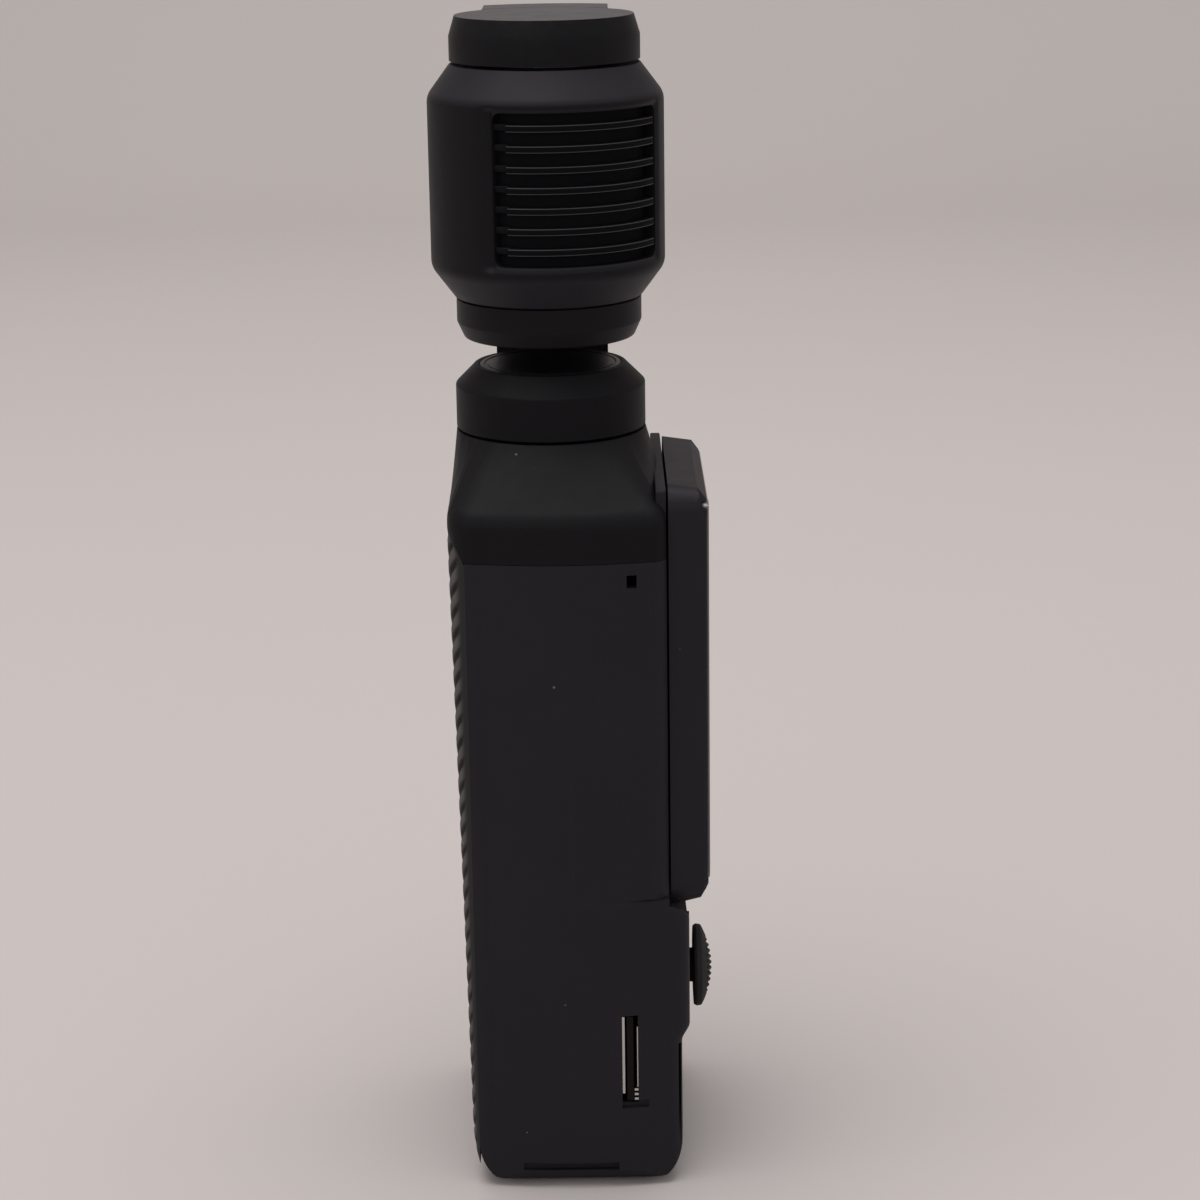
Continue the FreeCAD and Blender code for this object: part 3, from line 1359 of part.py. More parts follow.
def battery():
    body = new_body("battery")
    section = new_sketch(body, "XY_Plane", "battery_low")
    rounded(section, "battery_back - battery_thickness", "battery_back", "-battery_half", "battery_half",
            "1.5")
    pad(body, section, "battery_length")
    return body


def inner_frame():
    """Plate between battery and board, with four bosses for the board's screws."""
    body = new_body("inner_frame")
    half = "(shell_half - shell_wall - 2 * inner_gap)"
    plate = new_sketch(body, "YZ_Plane", "frame_front")
    rectangle(plate, f"-{half}", half, "shell_floor", "shell_top")
    pad(body, plate, "frame_thickness")
    bosses = new_sketch(body, "YZ_Plane", "frame_front")
    for side, height in screw_spots():
        ring(bosses, side, height, "boss_radius")
    pad(body, bosses, "board_front - frame_front")
    holes = new_sketch(body, "YZ_Plane", "board_front")
    for side, height in screw_spots():
        ring(holes, side, height, "screw_radius")
    pocket(body, holes, "screw_length - board_thickness + inner_gap")
    return body


def screw_spots():
    """Middles of the board's screws, as expressions for width and height."""
    for side in (-1, 1):
        yield f"{side} * (board_half - screw_inset)", "screw_low"
        yield f"{side} * (board_half - screw_inset)", "board_low + board_length - screw_inset"


def main_board():
    body = new_body("main_board")
    plate = new_sketch(body, "YZ_Plane", "board_front")
    rectangle(plate, "-board_half", "board_half", "board_low", "board_low + board_length")
    for side, height in screw_spots():
        ring(plate, side, height, "screw_radius + seam")
    pad(body, plate, "board_thickness")
    chips = new_sketch(body, "YZ_Plane", "board_front - chip_thickness")
    middle = "board_low + board_length / 2"
    rectangle(chips, "-chip_side / 2", "chip_side / 2", f"{middle} - chip_side / 2", f"{middle} + chip_side / 2")
    rectangle(chips, "-chip_side / 4", "chip_side / 4", f"{middle} + chip_side", f"{middle} + 1.5 * chip_side")
    pad(body, chips, "chip_thickness")
    return body


def board_screws():
    screws = []
    for side, height in screw_spots():
        screw = DOC.addObject("Part::Feature", "screw")
        spot = Vector(number("board_back"), number(side), number(height))
        head = Part.makeCylinder(number("screw_head"), number("screw_radius"), spot, Vector(1, 0, 0))
        shank = Part.makeCylinder(number("screw_radius"), number("screw_length"), spot,
                                  Vector(-1, 0, 0))
        screw.Shape = head.fuse(shank)
        screws.append(screw)
    return joined("board_screws", "Compound", *screws)


def heat_spreader():
    thick = "spreader_thickness"
    plate = box("spreader_sheet", "board_front - chip_thickness - spreader_thickness / 2", "0",
                "board_low + board_length / 2 - spreader_length / 2", thick, "spreader_width", "spreader_length")
    return joined("heat_spreader", "Compound", plate)


def speaker():
    body = turned("speaker", [
        ("0", "board_back"),
        ("speaker_radius", "board_back"),
        ("speaker_radius", "board_back + speaker_thickness - soft_edge"),
        ("speaker_radius - soft_edge", "board_back + speaker_thickness"),
        ("0", "board_back + speaker_thickness - 2 * soft_edge"),
    ])
    body.Placement = FreeCAD.Placement(Vector(), FreeCAD.Rotation(Vector(0, 1, 0), 90))
    return lay(body, y="speaker_side", z="speaker_height")


# The whole camera
KEPT = []


def keep(thing):
    KEPT.append(thing)
    return thing


def build():
    fill_sheet()
    for make in (
        handle_shell, shoulder_cover, front_grip, screen_plate, pivot_bearing, card_cage, data_socket, battery,
        inner_frame, main_board, board_screws, heat_spreader, speaker, joystick_module, record_ring, record_switch,
        screen_housing, screen_glass, display_panel, screen_pivot,
        joystick_cap, joystick_hub, joystick_yoke, record_button, memory_card,
        pan_ring, pan_disc, pan_arm, roll_housing, roll_cover, roll_arm,
        barrel_shell, heat_sink, lower_cap, lens_bezel, front_glass, lens_tube, lens_elements,
        sensor_board, image_sensor, heat_block,
    ):
        keep(make())
    motor("pan", "(pan_ring_top - pan_roof - pan_seat_height)", "pan_ring_radius - pan_ring_wall",
          lambda thing: lay(thing, z="pan_seat_height"))
    motor("roll", "(roll_cup_back - roll_cover_thickness - hub_back)", "roll_cup_radius - roll_cup_wall",
          backwards)
    motor("tilt", "(head_half - cap_wall - barrel_high)", "cap_radius - cap_wall",
          lambda thing: lay(thing, z="head_height + barrel_high"))


def check():
    """Stops on any object that failed, and on any sub-part without a sound shape."""
    DOC.recompute()
    for item in DOC.Objects:
        if "Invalid" in item.State or "Error" in item.State:
            raise RuntimeError(f"{item.Label} failed: {item.State}")
    unsound = [item.Label for item in KEPT if not is_sound(item.Shape)]
    if unsound:
        raise RuntimeError("no sound shape: " + ", ".join(unsound))


def is_sound(shape):
    return not shape.isNull() and shape.isValid() and len(shape.Solids) > 0


def write():
    os.makedirs("parts", exist_ok=True)
    for item in KEPT:
        item.Shape.exportStep(os.path.join("parts", f"{item.Label}.step"))


build()
check()
write()
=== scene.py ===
"""Pocket gimbal camera, dressed for a studio view: handle with a turning screen, and a three-axis head."""
import json
import math
from types import SimpleNamespace

import bmesh
import bpy
from bpy.props import FloatProperty, FloatVectorProperty, IntProperty, PointerProperty
from mathutils import Matrix, Vector

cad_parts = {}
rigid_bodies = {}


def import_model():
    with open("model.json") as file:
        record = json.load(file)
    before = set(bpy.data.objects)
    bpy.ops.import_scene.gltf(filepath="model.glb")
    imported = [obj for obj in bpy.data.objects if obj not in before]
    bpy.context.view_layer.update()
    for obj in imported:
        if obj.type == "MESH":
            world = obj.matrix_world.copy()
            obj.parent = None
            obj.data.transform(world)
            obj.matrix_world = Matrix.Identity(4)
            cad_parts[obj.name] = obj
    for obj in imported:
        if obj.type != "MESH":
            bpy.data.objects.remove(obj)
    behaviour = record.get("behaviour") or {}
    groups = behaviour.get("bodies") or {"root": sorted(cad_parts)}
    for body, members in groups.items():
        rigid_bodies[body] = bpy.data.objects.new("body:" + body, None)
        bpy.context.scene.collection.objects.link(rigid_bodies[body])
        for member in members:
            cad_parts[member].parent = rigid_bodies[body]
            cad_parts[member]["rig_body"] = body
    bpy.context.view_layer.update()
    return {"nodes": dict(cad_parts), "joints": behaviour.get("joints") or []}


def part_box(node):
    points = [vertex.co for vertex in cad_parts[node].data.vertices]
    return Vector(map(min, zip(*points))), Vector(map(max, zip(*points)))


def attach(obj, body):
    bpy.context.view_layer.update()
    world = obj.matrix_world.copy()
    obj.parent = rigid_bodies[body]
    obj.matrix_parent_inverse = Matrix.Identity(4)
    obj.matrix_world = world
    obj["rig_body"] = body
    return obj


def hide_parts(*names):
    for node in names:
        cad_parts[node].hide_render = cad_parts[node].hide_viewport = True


bl_info = {
    "name": "Pocket gimbal camera",
    "version": (1, 0, 0),
    "blender": (4, 5, 0),
    "location": "3D View > Sidebar > Gimbal camera",
    "description": "Builds the outer pieces and finishes of a pocket gimbal camera",
    "category": "Object",
}

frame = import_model()
NODES = frame["nodes"]
MM = 0.001
UP = Vector((0, 0, 1))
OUT = Vector((1, 0, 0))
HEAD_CENTRE = Vector(next(j["pos_m"] for j in frame["joints"] if j["name"] == "tilt_turn"))


# Sizes and colours that a user may change

def length(name, millimetres, description, low=0.0, high=500.0):
    """A length that is given in millimetres and kept in metres."""
    return FloatProperty(name=name, description=description, default=millimetres * MM, min=low * MM,
                         max=high * MM, precision=3, unit="LENGTH")


def colour(name, value, description):
    """A linear colour."""
    return FloatVectorProperty(name=name, description=description, subtype="COLOR", size=3,
                               min=0.0, max=1.0, default=value)


def measures(group):
    """A group's values by name, its lengths in millimetres."""
    values = {}
    for key in group.__annotations__:
        value = getattr(group, key)
        values[key] = round(value / MM, 5) if group.bl_rna.properties[key].unit == "LENGTH" else value
    return SimpleNamespace(**values)


class HeadSizes(bpy.types.PropertyGroup):
    """Sizes of the camera head."""
    barrel_edge: length("Barrel edge", 2.4, "Soft edge between the barrel and its sloping ends")
    fine_edge: length("Fine edge", 0.25, "Soft edges of the head's caps")
    cap_seam: length("Cap seam", 0.22, "Dark seam between the barrel and its lower cap")
    recess_edge: length("Recess edge", 0.9, "Soft rim of the heat sink's recess")
    recess_ramp: length("Recess ramp", 2.4, "Shallow run-in at the recess's left side")
    recess_corner: length("Recess corner", 0.9, "Round corners of the heat sink's recess")
    rib_edge: length("Rib edge", 0.1, "Soft edges of the heat sink's ribs")
    lens_window: length("Lens window", 8.25, "Radius of the opening that the lens's bezel stands in")
    rib_count: IntProperty(name="Ribs", description="Ribs of the heat sink", default=7, min=1, max=12)
    rib_pitch: length("Rib pitch", 2.33, "Height from rib to rib")
    rib_thickness: length("Rib thickness", 0.78, "Height of each rib")
    rib_crest: length("Rib crest", 0.28, "Rib crests below the barrel's surface")
    sink_start: FloatProperty(
        name="Sink start", description="Where the heat sink's opening starts, round the head",
        default=math.radians(-26), subtype="ANGLE")
    sink_end: FloatProperty(
        name="Sink end", description="Where the heat sink's opening ends, round the head",
        default=math.radians(68), subtype="ANGLE")


class HandleSizes(bpy.types.PropertyGroup):
    """Sizes of the handle's finer forms."""
    cover_edge: length("Cover edge", 0.14, "Soft edges of the handle's covers")
    screen_edge: length("Screen edge", 0.22, "Soft edges of the screen's housing")
    screen_front_edge: length("Screen front edge", 0.47, "Slanted edge of the housing round the glass")
    side_crown: length("Side crown", 1.1, "Bulge of the handle's narrow sides")
    back_corner: length("Back corner", 2.2, "Round upright corners at the handle's back")
    lower_step: length("Lower step", 1.45, "Lower back behind the back under the screen")
    pad_half: length("Pad half width", 17.0, "Half of the raised pad")
    pad_foot: length("Pad foot", 18.2, "Height at which the raised pad starts")
    sweep_centre: length("Sweep centre", 61.6, "Height of the axis that the screen turns on")
    sweep_radius: length("Sweep radius", 31.08, "Arc that frees the turning screen")
    glass_edge: length("Glass edge", 0.12, "Polished edge of the cover glass")
    grip_corner: length("Grip corner", 4.0, "Round front corners under the grip")
    grip_pitch: length("Grip pitch", 2.7, "Height from one slanted rib to the next")
    grip_depth: length("Grip depth", 0.3, "Grooves between the grip's ribs")
    grip_slant: FloatProperty(name="Grip slant", description="Slant of the grip's ribs",
                              default=math.radians(42), subtype="ANGLE")
    knurl_size: length("Knurl size", 0.35, "Half the pitch of the pyramids on the joystick")
    knurl_depth: length("Knurl depth", 0.37, "Height of the pyramids on the joystick")
    knurl_reach: length("Knurl reach", 3.5, "Radius of the knurled middle of the joystick")
    knurl_turn: FloatProperty(name="Knurl turn", description="Turn of the rows of pyramids",
                              default=math.radians(-16), subtype="ANGLE")
    dome_bulge: length("Dome bulge", 1.35, "Height of the joystick's dome")
    slot_lip: length("Slot lip", 0.3, "Bright edge of the card cage in its slot")


class Finishes(bpy.types.PropertyGroup):
    """Colours of the finishes, linear."""
    shell: colour("Shell", (0.0124, 0.0106, 0.0148), "Soft-touch cover of the handle")
    head: colour("Head", (0.0060, 0.0054, 0.0068), "Cover of the camera head")
    grip: colour("Grip", (0.0190, 0.0170, 0.0172), "Rubber of the front grip")
    control: colour("Control", (0.0150, 0.0136, 0.0142), "Rubber of the joystick")
    record: colour("Record", (0.42, 0.012, 0.010), "Record button")
    glass: colour("Glass", (0.0045, 0.0045, 0.0052), "Cover glass over the dark display")
    steel: colour("Steel", (0.60, 0.59, 0.57), "Bright sheet metal")
    alloy: colour("Alloy", (0.30, 0.30, 0.31), "Cast metal inside")
    copper: colour("Copper", (0.72, 0.33, 0.16), "Motor windings")
    board: colour("Board", (0.008, 0.030, 0.014), "Circuit board")
    card: colour("Card", (0.006, 0.0045, 0.004), "Memory card in its slot")
    floor: colour("Floor", (0.502, 0.464, 0.456), "Floor under the object")
    dust: FloatProperty(name="Dust", description="Share of dust specks on the covers", default=0.35,
                        min=0.0, max=1.0, subtype="FACTOR")


class StageSettings(bpy.types.PropertyGroup):
    """The camera's place and the lights."""
    lens: FloatProperty(name="Lens", description="Focal length on a 36 mm sensor",
                        default=86.58, unit="CAMERA")
    pitch: FloatProperty(name="Pitch", description="Camera's tilt below the horizon",
                         default=math.radians(15.75), subtype="ANGLE")
    roll: FloatProperty(name="Roll", description="Camera's lean", default=math.radians(0.82), subtype="ANGLE")
    across: length("Across", 5.53, "Camera to the pan axis, to the right", -500)
    distance: length("Distance", 339.0, "Camera to the pan axis, along the view")
    height: length("Height", 164.9, "Camera above the floor")
    top_light: FloatProperty(name="Top light", description="Power of the light overhead", default=1.12, min=0)
    front_light: FloatProperty(name="Front light", description="Power of the light by the camera",
                               default=0.1, min=0)
    room: FloatProperty(name="Room", description="Strength of the room's light", default=0.62, min=0)


# Shader maths

class Value:
    """A socket in shader maths: an expression on values adds its Math nodes."""

    def __init__(self, finish, socket):
        self.finish = finish
        self.socket = socket

    def apply(self, operation, *inputs):
        """Adds a Math node."""
        made = self.finish.node("ShaderNodeMath", {"operation": operation}, dict(enumerate(inputs)))
        return Value(self.finish, made.outputs[0])

    def __add__(self, other):
        return self.apply("ADD", self, other)

    def __sub__(self, other):
        return self.apply("SUBTRACT", self, other)

    def __mul__(self, other):
        return self.apply("MULTIPLY", self, other)

    def __rsub__(self, other):
        return self.apply("SUBTRACT", other, self)

    __radd__ = __add__
    __rmul__ = __mul__

    def below(self, limit):
        """1 where the value is less than a limit."""
        return self.apply("LESS_THAN", self, limit)

    def above(self, limit):
        """1 where the value is more than a limit."""
        return self.apply("GREATER_THAN", self, limit)


class Finish:
    """One material and its nodes."""

    def __init__(self, name, **constants):
        self.material = bpy.data.materials.new(name)
        self.material.use_nodes = True
        self.tree = self.material.node_tree
        self.shader = self.tree.nodes["Principled BSDF"]
        self.place = self.node("ShaderNodeTexCoord").outputs["Object"]
        for socket, value in constants.items():
            self.feed(self.shader.inputs[socket.replace("_", " ")], value)

    def node(self, kind, options=None, sockets=None):
        """A node of a kind, its settings first, then the values or links of its sockets."""
        made = self.tree.nodes.new(kind)
        for name, value in (options or {}).items():
            setattr(made, name, value)
        for name, value in (sockets or {}).items():
            self.feed(made.inputs[name], value)
        return made

    def feed(self, socket, value):
        """Links a value to a socket, or sets the socket to a constant."""
        if isinstance(value, Value):
            self.tree.links.new(value.socket, socket)
        elif isinstance(value, bpy.types.NodeSocket):
            self.tree.links.new(value, socket)
        elif socket.type == "RGBA" and len(value) == 3:
            socket.default_value = (*value, 1)
        else:
            socket.default_value = value

    def noise(self, scale, detail=2.0, roughness=0.5, stretch=None):
        """Soft noise with this many features to a metre."""
        place = self.place
        if stretch:
            place = self.node("ShaderNodeMapping", None, {"Vector": place, "Scale": stretch}).outputs[0]
        made = self.node("ShaderNodeTexNoise", None, {"Vector": place, "Scale": scale, "Detail": detail,
                                                      "Roughness": roughness})
        return Value(self, made.outputs["Fac"])

    def cells(self, scale):
        """Distance to the nearest of scattered points, and a shade of its own for each."""
        made = self.node("ShaderNodeTexVoronoi", None, {"Vector": self.place, "Scale": scale})
        shade = self.node("ShaderNodeSeparateColor", None, {"Color": made.outputs["Color"]})
        return Value(self, made.outputs["Distance"]), Value(self, shade.outputs[0])

    def mix(self, share, first, second):
        """A colour between two."""
        made = self.node("ShaderNodeMix", {"data_type": "RGBA"}, {0: share, 6: first, 7: second})
        return made.outputs[2]

    def set(self, socket, value):
        """Feeds one of the shader's own sockets."""
        self.feed(self.shader.inputs[socket], value)

    def bump(self, height, depth, strength=1.0):
        """Relief of this depth in metres."""
        made = self.node("ShaderNodeBump", None, {"Height": height, "Distance": depth, "Strength": strength})
        self.set("Normal", made.outputs[0])


def varied(tint, share):
    """A colour made lighter or darker by a share."""
    return tuple(min(1, part * share) for part in tint)


def moulded(name, tint, roughness, grain=5200, depth=9e-6, dust=0.0, coat=0.0, gloss=0.2, slope_highlight=0.0):
    """Moulded plastic with a spark-eroded grain, faint unevenness, specks of dust, and a painted highlight
    that makes sloping faces paler.
    """
    finish = Finish(name, IOR=1.46, Specular_IOR_Level=gloss, Coat_Weight=coat, Coat_Roughness=0.25)
    cloud = finish.noise(55, 3)
    fine = finish.noise(grain, 2, 0.6)
    base = finish.mix(cloud, varied(tint, 0.86), varied(tint, 1.16))
    # Painted highlight: faces that lean towards up or down are made paler through the slope attribute.
    if slope_highlight:
        slope = finish.node("ShaderNodeAttribute", {"attribute_name": "slope"}).outputs["Fac"]
        base = finish.mix(slope, base, varied(tint, slope_highlight))
    if dust:
        distance, shade = finish.cells(210)
        specks = distance.below(0.035) * shade.below(dust * 0.5)
        lint = finish.noise(1500, 3, 0.7).above(0.735) * finish.noise(90).above(0.52)
        base = finish.mix(specks * 0.8 + lint * (0.35 * dust), base, (0.16, 0.15, 0.145))
    finish.set("Base Color", base)
    finish.set("Roughness", roughness - 0.05 + 0.1 * finish.noise(420, 2) + 0.04 * fine)
    finish.bump(fine, depth)
    return finish.material


def rubber(name, tint, dust=0.0, painted_relief_light=False):
    """Matte rubber with a dense grain that scatters light, with a painted highlight on its ribs' crests and
    painted shade in their grooves.
    """
    finish = Finish(name, IOR=1.44, Specular_IOR_Level=0.3)
    fine = finish.noise(7600, 3, 0.65)
    worn = finish.noise(130, 3)
    base = finish.mix(worn, varied(tint, 0.85), varied(tint, 1.22))
    # Painted highlight on the crests and painted shade in the grooves, through the crest and groove
    # attributes.
    if painted_relief_light:
        crest = finish.node("ShaderNodeAttribute", {"attribute_name": "crest"}).outputs["Fac"]
        groove = finish.node("ShaderNodeAttribute", {"attribute_name": "groove"}).outputs["Fac"]
        base = finish.mix(crest, base, varied(tint, 6.0))
        base = finish.mix(groove, base, varied(tint, 0.2))
    if dust:
        distance, shade = finish.cells(260)
        base = finish.mix(distance.below(0.04) * shade.below(dust), base, (0.19, 0.18, 0.17))
    finish.set("Base Color", base)
    finish.set("Roughness", 0.68 + 0.16 * worn)
    finish.bump(fine, 1.6e-5)
    return finish.material


def polished_glass(name, tint):
    """Coated cover glass, with a trace of finger grease."""
    finish = Finish(name, IOR=1.52, Specular_IOR_Level=0.55)
    grease = finish.noise(85, 4, 0.6)
    streak = finish.noise(260, 3, 0.6, (1, 2.5, 0.5))
    finish.set("Base Color", finish.mix(grease, tint, varied(tint, 1.7)))
    finish.set("Roughness", 0.035 + 0.09 * grease * streak)
    return finish.material


def lens_glass(name):
    """Coated optic that looks dark, with a faint tint."""
    finish = Finish(name, IOR=1.52, Metallic=0.0, Coat_Weight=1.0, Coat_Roughness=0.02)
    ring = finish.noise(240, 2)
    finish.set("Base Color", finish.mix(ring, (0.006, 0.008, 0.020), (0.020, 0.008, 0.024)))
    finish.set("Roughness", 0.03 + 0.03 * ring)
    return finish.material


def bright_metal(name, tint, roughness=0.28, stretch=(1, 1, 14)):
    """Rolled or turned metal, with fine lines along one way."""
    finish = Finish(name, Metallic=1.0)
    lines = finish.noise(900, 3, 0.6, stretch)
    cloud = finish.noise(160, 3)
    finish.set("Base Color", finish.mix(cloud, varied(tint, 0.8), tint))
    finish.set("Roughness", roughness - 0.08 + 0.16 * lines)
    finish.bump(lines, 4e-6)
    return finish.material


def cast_metal(name, tint):
    """Anodized cast metal with a sand grain."""
    finish = Finish(name, Metallic=0.85)
    fine = finish.noise(3600, 3, 0.6)
    finish.set("Base Color", finish.mix(finish.noise(120), varied(tint, 0.8), varied(tint, 1.1)))
    finish.set("Roughness", 0.42 + 0.14 * fine)
    finish.bump(fine, 1.2e-5)
    return finish.material


def windings(name, tint):
    """Enamelled copper wire, turn by turn."""
    finish = Finish(name, Metallic=1.0, Coat_Weight=0.6, Coat_Roughness=0.15)
    turns = Value(finish, finish.node("ShaderNodeTexWave", {"bands_direction": "Z"}, {
        "Vector": finish.place, "Scale": 900, "Distortion": 0.4}).outputs["Fac"])
    finish.set("Base Color", finish.mix(turns, varied(tint, 0.35), tint))
    finish.set("Roughness", 0.32 - 0.1 * turns)
    finish.bump(turns, 5e-5)
    return finish.material


def circuit_board(name, tint):
    """Solder mask with traces and small pads."""
    finish = Finish(name, Coat_Weight=0.4, Coat_Roughness=0.2)
    bricks = finish.node("ShaderNodeTexBrick", None, {
        "Vector": finish.node("ShaderNodeMapping", None, {
            "Vector": finish.place, "Rotation": (0, math.radians(90), 0)}).outputs[0],
        "Scale": 420, "Mortar Size": 0.03, "Color1": (0, 0, 0), "Color2": (0, 0, 0), "Mortar": (1, 1, 1)})
    traces = Value(finish, finish.node("ShaderNodeSeparateColor", None,
                                       {"Color": bricks.outputs["Color"]}).outputs[0])
    distance, shade = finish.cells(700)
    pads = distance.below(0.28) * shade.above(0.72)
    traced = finish.mix(0.5 * traces, tint, varied(tint, 3.0))
    finish.set("Base Color", finish.mix(pads, traced, (0.55, 0.42, 0.20)))
    finish.set("Metallic", pads)
    finish.set("Roughness", 0.45 - 0.15 * pads)
    finish.bump(pads + traces, 2e-5)
    return finish.material


def wrapped_cell(name, tint):
    """Battery in its matte wrap, with faint folds."""
    finish = Finish(name)
    folds = finish.noise(180, 4, 0.6, (1, 1, 0.25))
    finish.set("Base Color", finish.mix(folds, varied(tint, 0.8), varied(tint, 1.2)))
    finish.set("Roughness", 0.38 + 0.2 * folds)
    finish.bump(folds, 8e-5)
    return finish.material


def magnet_ring(name):
    """Nickel-plated magnets, a little cloudy."""
    return bright_metal(name, (0.42, 0.41, 0.38), 0.3, (6, 6, 1))


# Shapes

def smooth(value):
    """From 0 to 1 with soft ends."""
    value = min(1.0, max(0.0, value))
    return value * value * (3 - 2 * value)


def spaced(first, last, count):
    """Numbers at even steps."""
    return [first + (last - first) * order / (count - 1) for order in range(count)]


def wire(profile):
    """A mesh that holds a profile of (radius, height) in millimetres as one open line."""
    mesh = bmesh.new()
    points = [mesh.verts.new((radius * MM, 0, height * MM)) for radius, height in profile]
    for first, second in zip(points, points[1:]):
        mesh.edges.new((first, second))
    return mesh


def spun(profile, steps=144, start=0.0, angle=360.0):
    """A closed profile of (radius, height) in mm, spun about the upright axis from -Y towards +X."""
    mesh = wire([*profile, profile[0]])
    bmesh.ops.remove_doubles(mesh, verts=mesh.verts, dist=1e-7)
    turn_to_start = Matrix.Rotation(math.radians(start - 90), 3, "Z")
    bmesh.ops.transform(mesh, matrix=turn_to_start.to_4x4(), verts=mesh.verts)
    whole = abs(angle - 360) < 1e-6
    bmesh.ops.spin(mesh, geom=mesh.verts[:] + mesh.edges[:], axis=UP, cent=(0, 0, 0), steps=steps,
                   angle=math.radians(angle), use_merge=whole)
    bmesh.ops.remove_doubles(mesh, verts=mesh.verts, dist=1e-7)
    if not whole:
        bmesh.ops.holes_fill(mesh, edges=[edge for edge in mesh.edges if edge.is_boundary])
    bmesh.ops.recalc_face_normals(mesh, faces=mesh.faces)
    return mesh


def sharp_edges(mesh, above):
    """Edges that turn by more than an angle in degrees."""
    limit = math.radians(above)
    return [edge for edge in mesh.edges if len(edge.link_faces) == 2 and edge.calc_face_angle(0) > limit]


def soften(mesh, width, above=25, segments=2, where=None, clamped=True):
    """Bevels the sharp edges, or those of them that a test picks."""
    edges = [edge for edge in sharp_edges(mesh, above) if where is None or where(edge)]
    bmesh.ops.bevel(mesh, geom=edges, offset=width * MM, offset_type="OFFSET", affect="EDGES",
                    segments=segments, profile=0.5, material=-1, clamp_overlap=clamped)
    return mesh


def rounded_profile(corners, segments=5):
    """A closed profile whose corners (radius, height, bend) are rounded by their bends."""
    points = []
    count = len(corners)
    for order, (radius, height, bend) in enumerate(corners):
        here = Vector((radius, height))
        if not bend:
            points.append(tuple(here))
            continue
        before = Vector(corners[order - 1][:2]) - here
        after = Vector(corners[(order + 1) % count][:2]) - here
        corner_angle = before.angle(after)
        run = min(bend / math.tan(corner_angle / 2), before.length * 0.48, after.length * 0.48)
        start, end = here + before.normalized() * run, here + after.normalized() * run
        for step in range(segments + 1):
            share = step / segments
            lower, upper = start.lerp(here, share), here.lerp(end, share)
            points.append(tuple(lower.lerp(upper, share)))
    return points


def stand_for(name, mesh, material, node, limit=32):
    """A new piece in the place of a node, smooth except across its sharp edges."""
    for face in mesh.faces:
        face.smooth = True
    for edge in mesh.edges:
        edge.smooth = len(edge.link_faces) != 2 or edge.calc_face_angle(0) < math.radians(limit)
    data = bpy.data.meshes.new(name)
    mesh.to_mesh(data)
    mesh.free()
    made = bpy.data.objects.new(name, data)
    bpy.context.scene.collection.objects.link(made)
    data.materials.append(material)
    made.modifiers.new("even_shading", "WEIGHTED_NORMAL").keep_sharp = True
    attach(made, NODES[node]["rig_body"])
    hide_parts(node)
    return made


def traced(node, flat=0.6):
    """The merged form of a node, its flat faces joined."""
    mesh = bmesh.new()
    mesh.from_mesh(NODES[node].data)
    bmesh.ops.remove_doubles(mesh, verts=mesh.verts, dist=1e-6)
    bmesh.ops.dissolve_limit(mesh, angle_limit=math.radians(flat), verts=mesh.verts, edges=mesh.edges)
    return mesh


def finished(node, material):
    """A node that keeps its own form and takes a finish."""
    data = NODES[node].data
    data.materials.clear()
    data.materials.append(material)
    return NODES[node]


def softened(node, name, material, width, segments=2):
    """A finer piece with the form of a node, and soft edges."""
    return stand_for(name, soften(traced(node), width, segments=segments), material, node)


def moved(mesh, place):
    """A mesh shifted by a vector in metres."""
    bmesh.ops.translate(mesh, vec=place, verts=mesh.verts)
    return mesh


def joined(*meshes):
    """Several meshes as one."""
    whole = bmesh.new()
    for mesh in meshes:
        data = bpy.data.meshes.new("part")
        mesh.to_mesh(data)
        mesh.free()
        whole.from_mesh(data)
        bpy.data.meshes.remove(data)
    return whole


def carved(mesh, cutter, solver="FAST"):
    """A mesh with the space of the cutter taken out of it."""
    whole, tool = loose("whole", mesh), loose("tool", cutter)
    cut = whole.modifiers.new("cut", "BOOLEAN")
    cut.object, cut.operation, cut.solver = tool, "DIFFERENCE", solver
    left = bpy.data.meshes.new_from_object(whole.evaluated_get(bpy.context.evaluated_depsgraph_get()))
    carving = bmesh.new()
    carving.from_mesh(left)
    for made in (whole, tool):
        bpy.data.objects.remove(made)
    bmesh.ops.remove_doubles(carving, verts=carving.verts, dist=1e-6)
    return carving


def loose(name, mesh):
    """A plain object that holds a mesh for a moment."""
    data = bpy.data.meshes.new(name)
    mesh.to_mesh(data)
    mesh.free()
    made = bpy.data.objects.new(name, data)
    bpy.context.scene.collection.objects.link(made)
    return made


def cylinder(radius, low, high, sides=96):
    """An upright cylinder between two heights, in millimetres."""
    mesh = bmesh.new()
    bmesh.ops.create_cone(mesh, cap_ends=True, segments=sides, radius1=radius * MM, radius2=radius * MM,
                          depth=(high - low) * MM)
    return moved(mesh, (0, 0, (high + low) / 2 * MM))


def aimed(mesh, direction, place):
    """Turns a mesh from the upright axis to a direction, and moves it."""
    turn = direction.to_track_quat("Z", "Y").to_matrix().to_4x4()
    bmesh.ops.transform(mesh, matrix=Matrix.Translation(place) @ turn, verts=mesh.verts)
    return mesh


def lens_way():
    """The way the lens looks, level, away from the head's axis."""
    low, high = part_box("lens_bezel")
    way = (low + high) / 2 - HEAD_CENTRE
    return Vector((way.x, way.y, 0)).normalized()


def azimuth(point):
    """Degrees from -Y towards +X round the head's axis."""
    return math.degrees(math.atan2(point.x, -point.y))


# Camera head

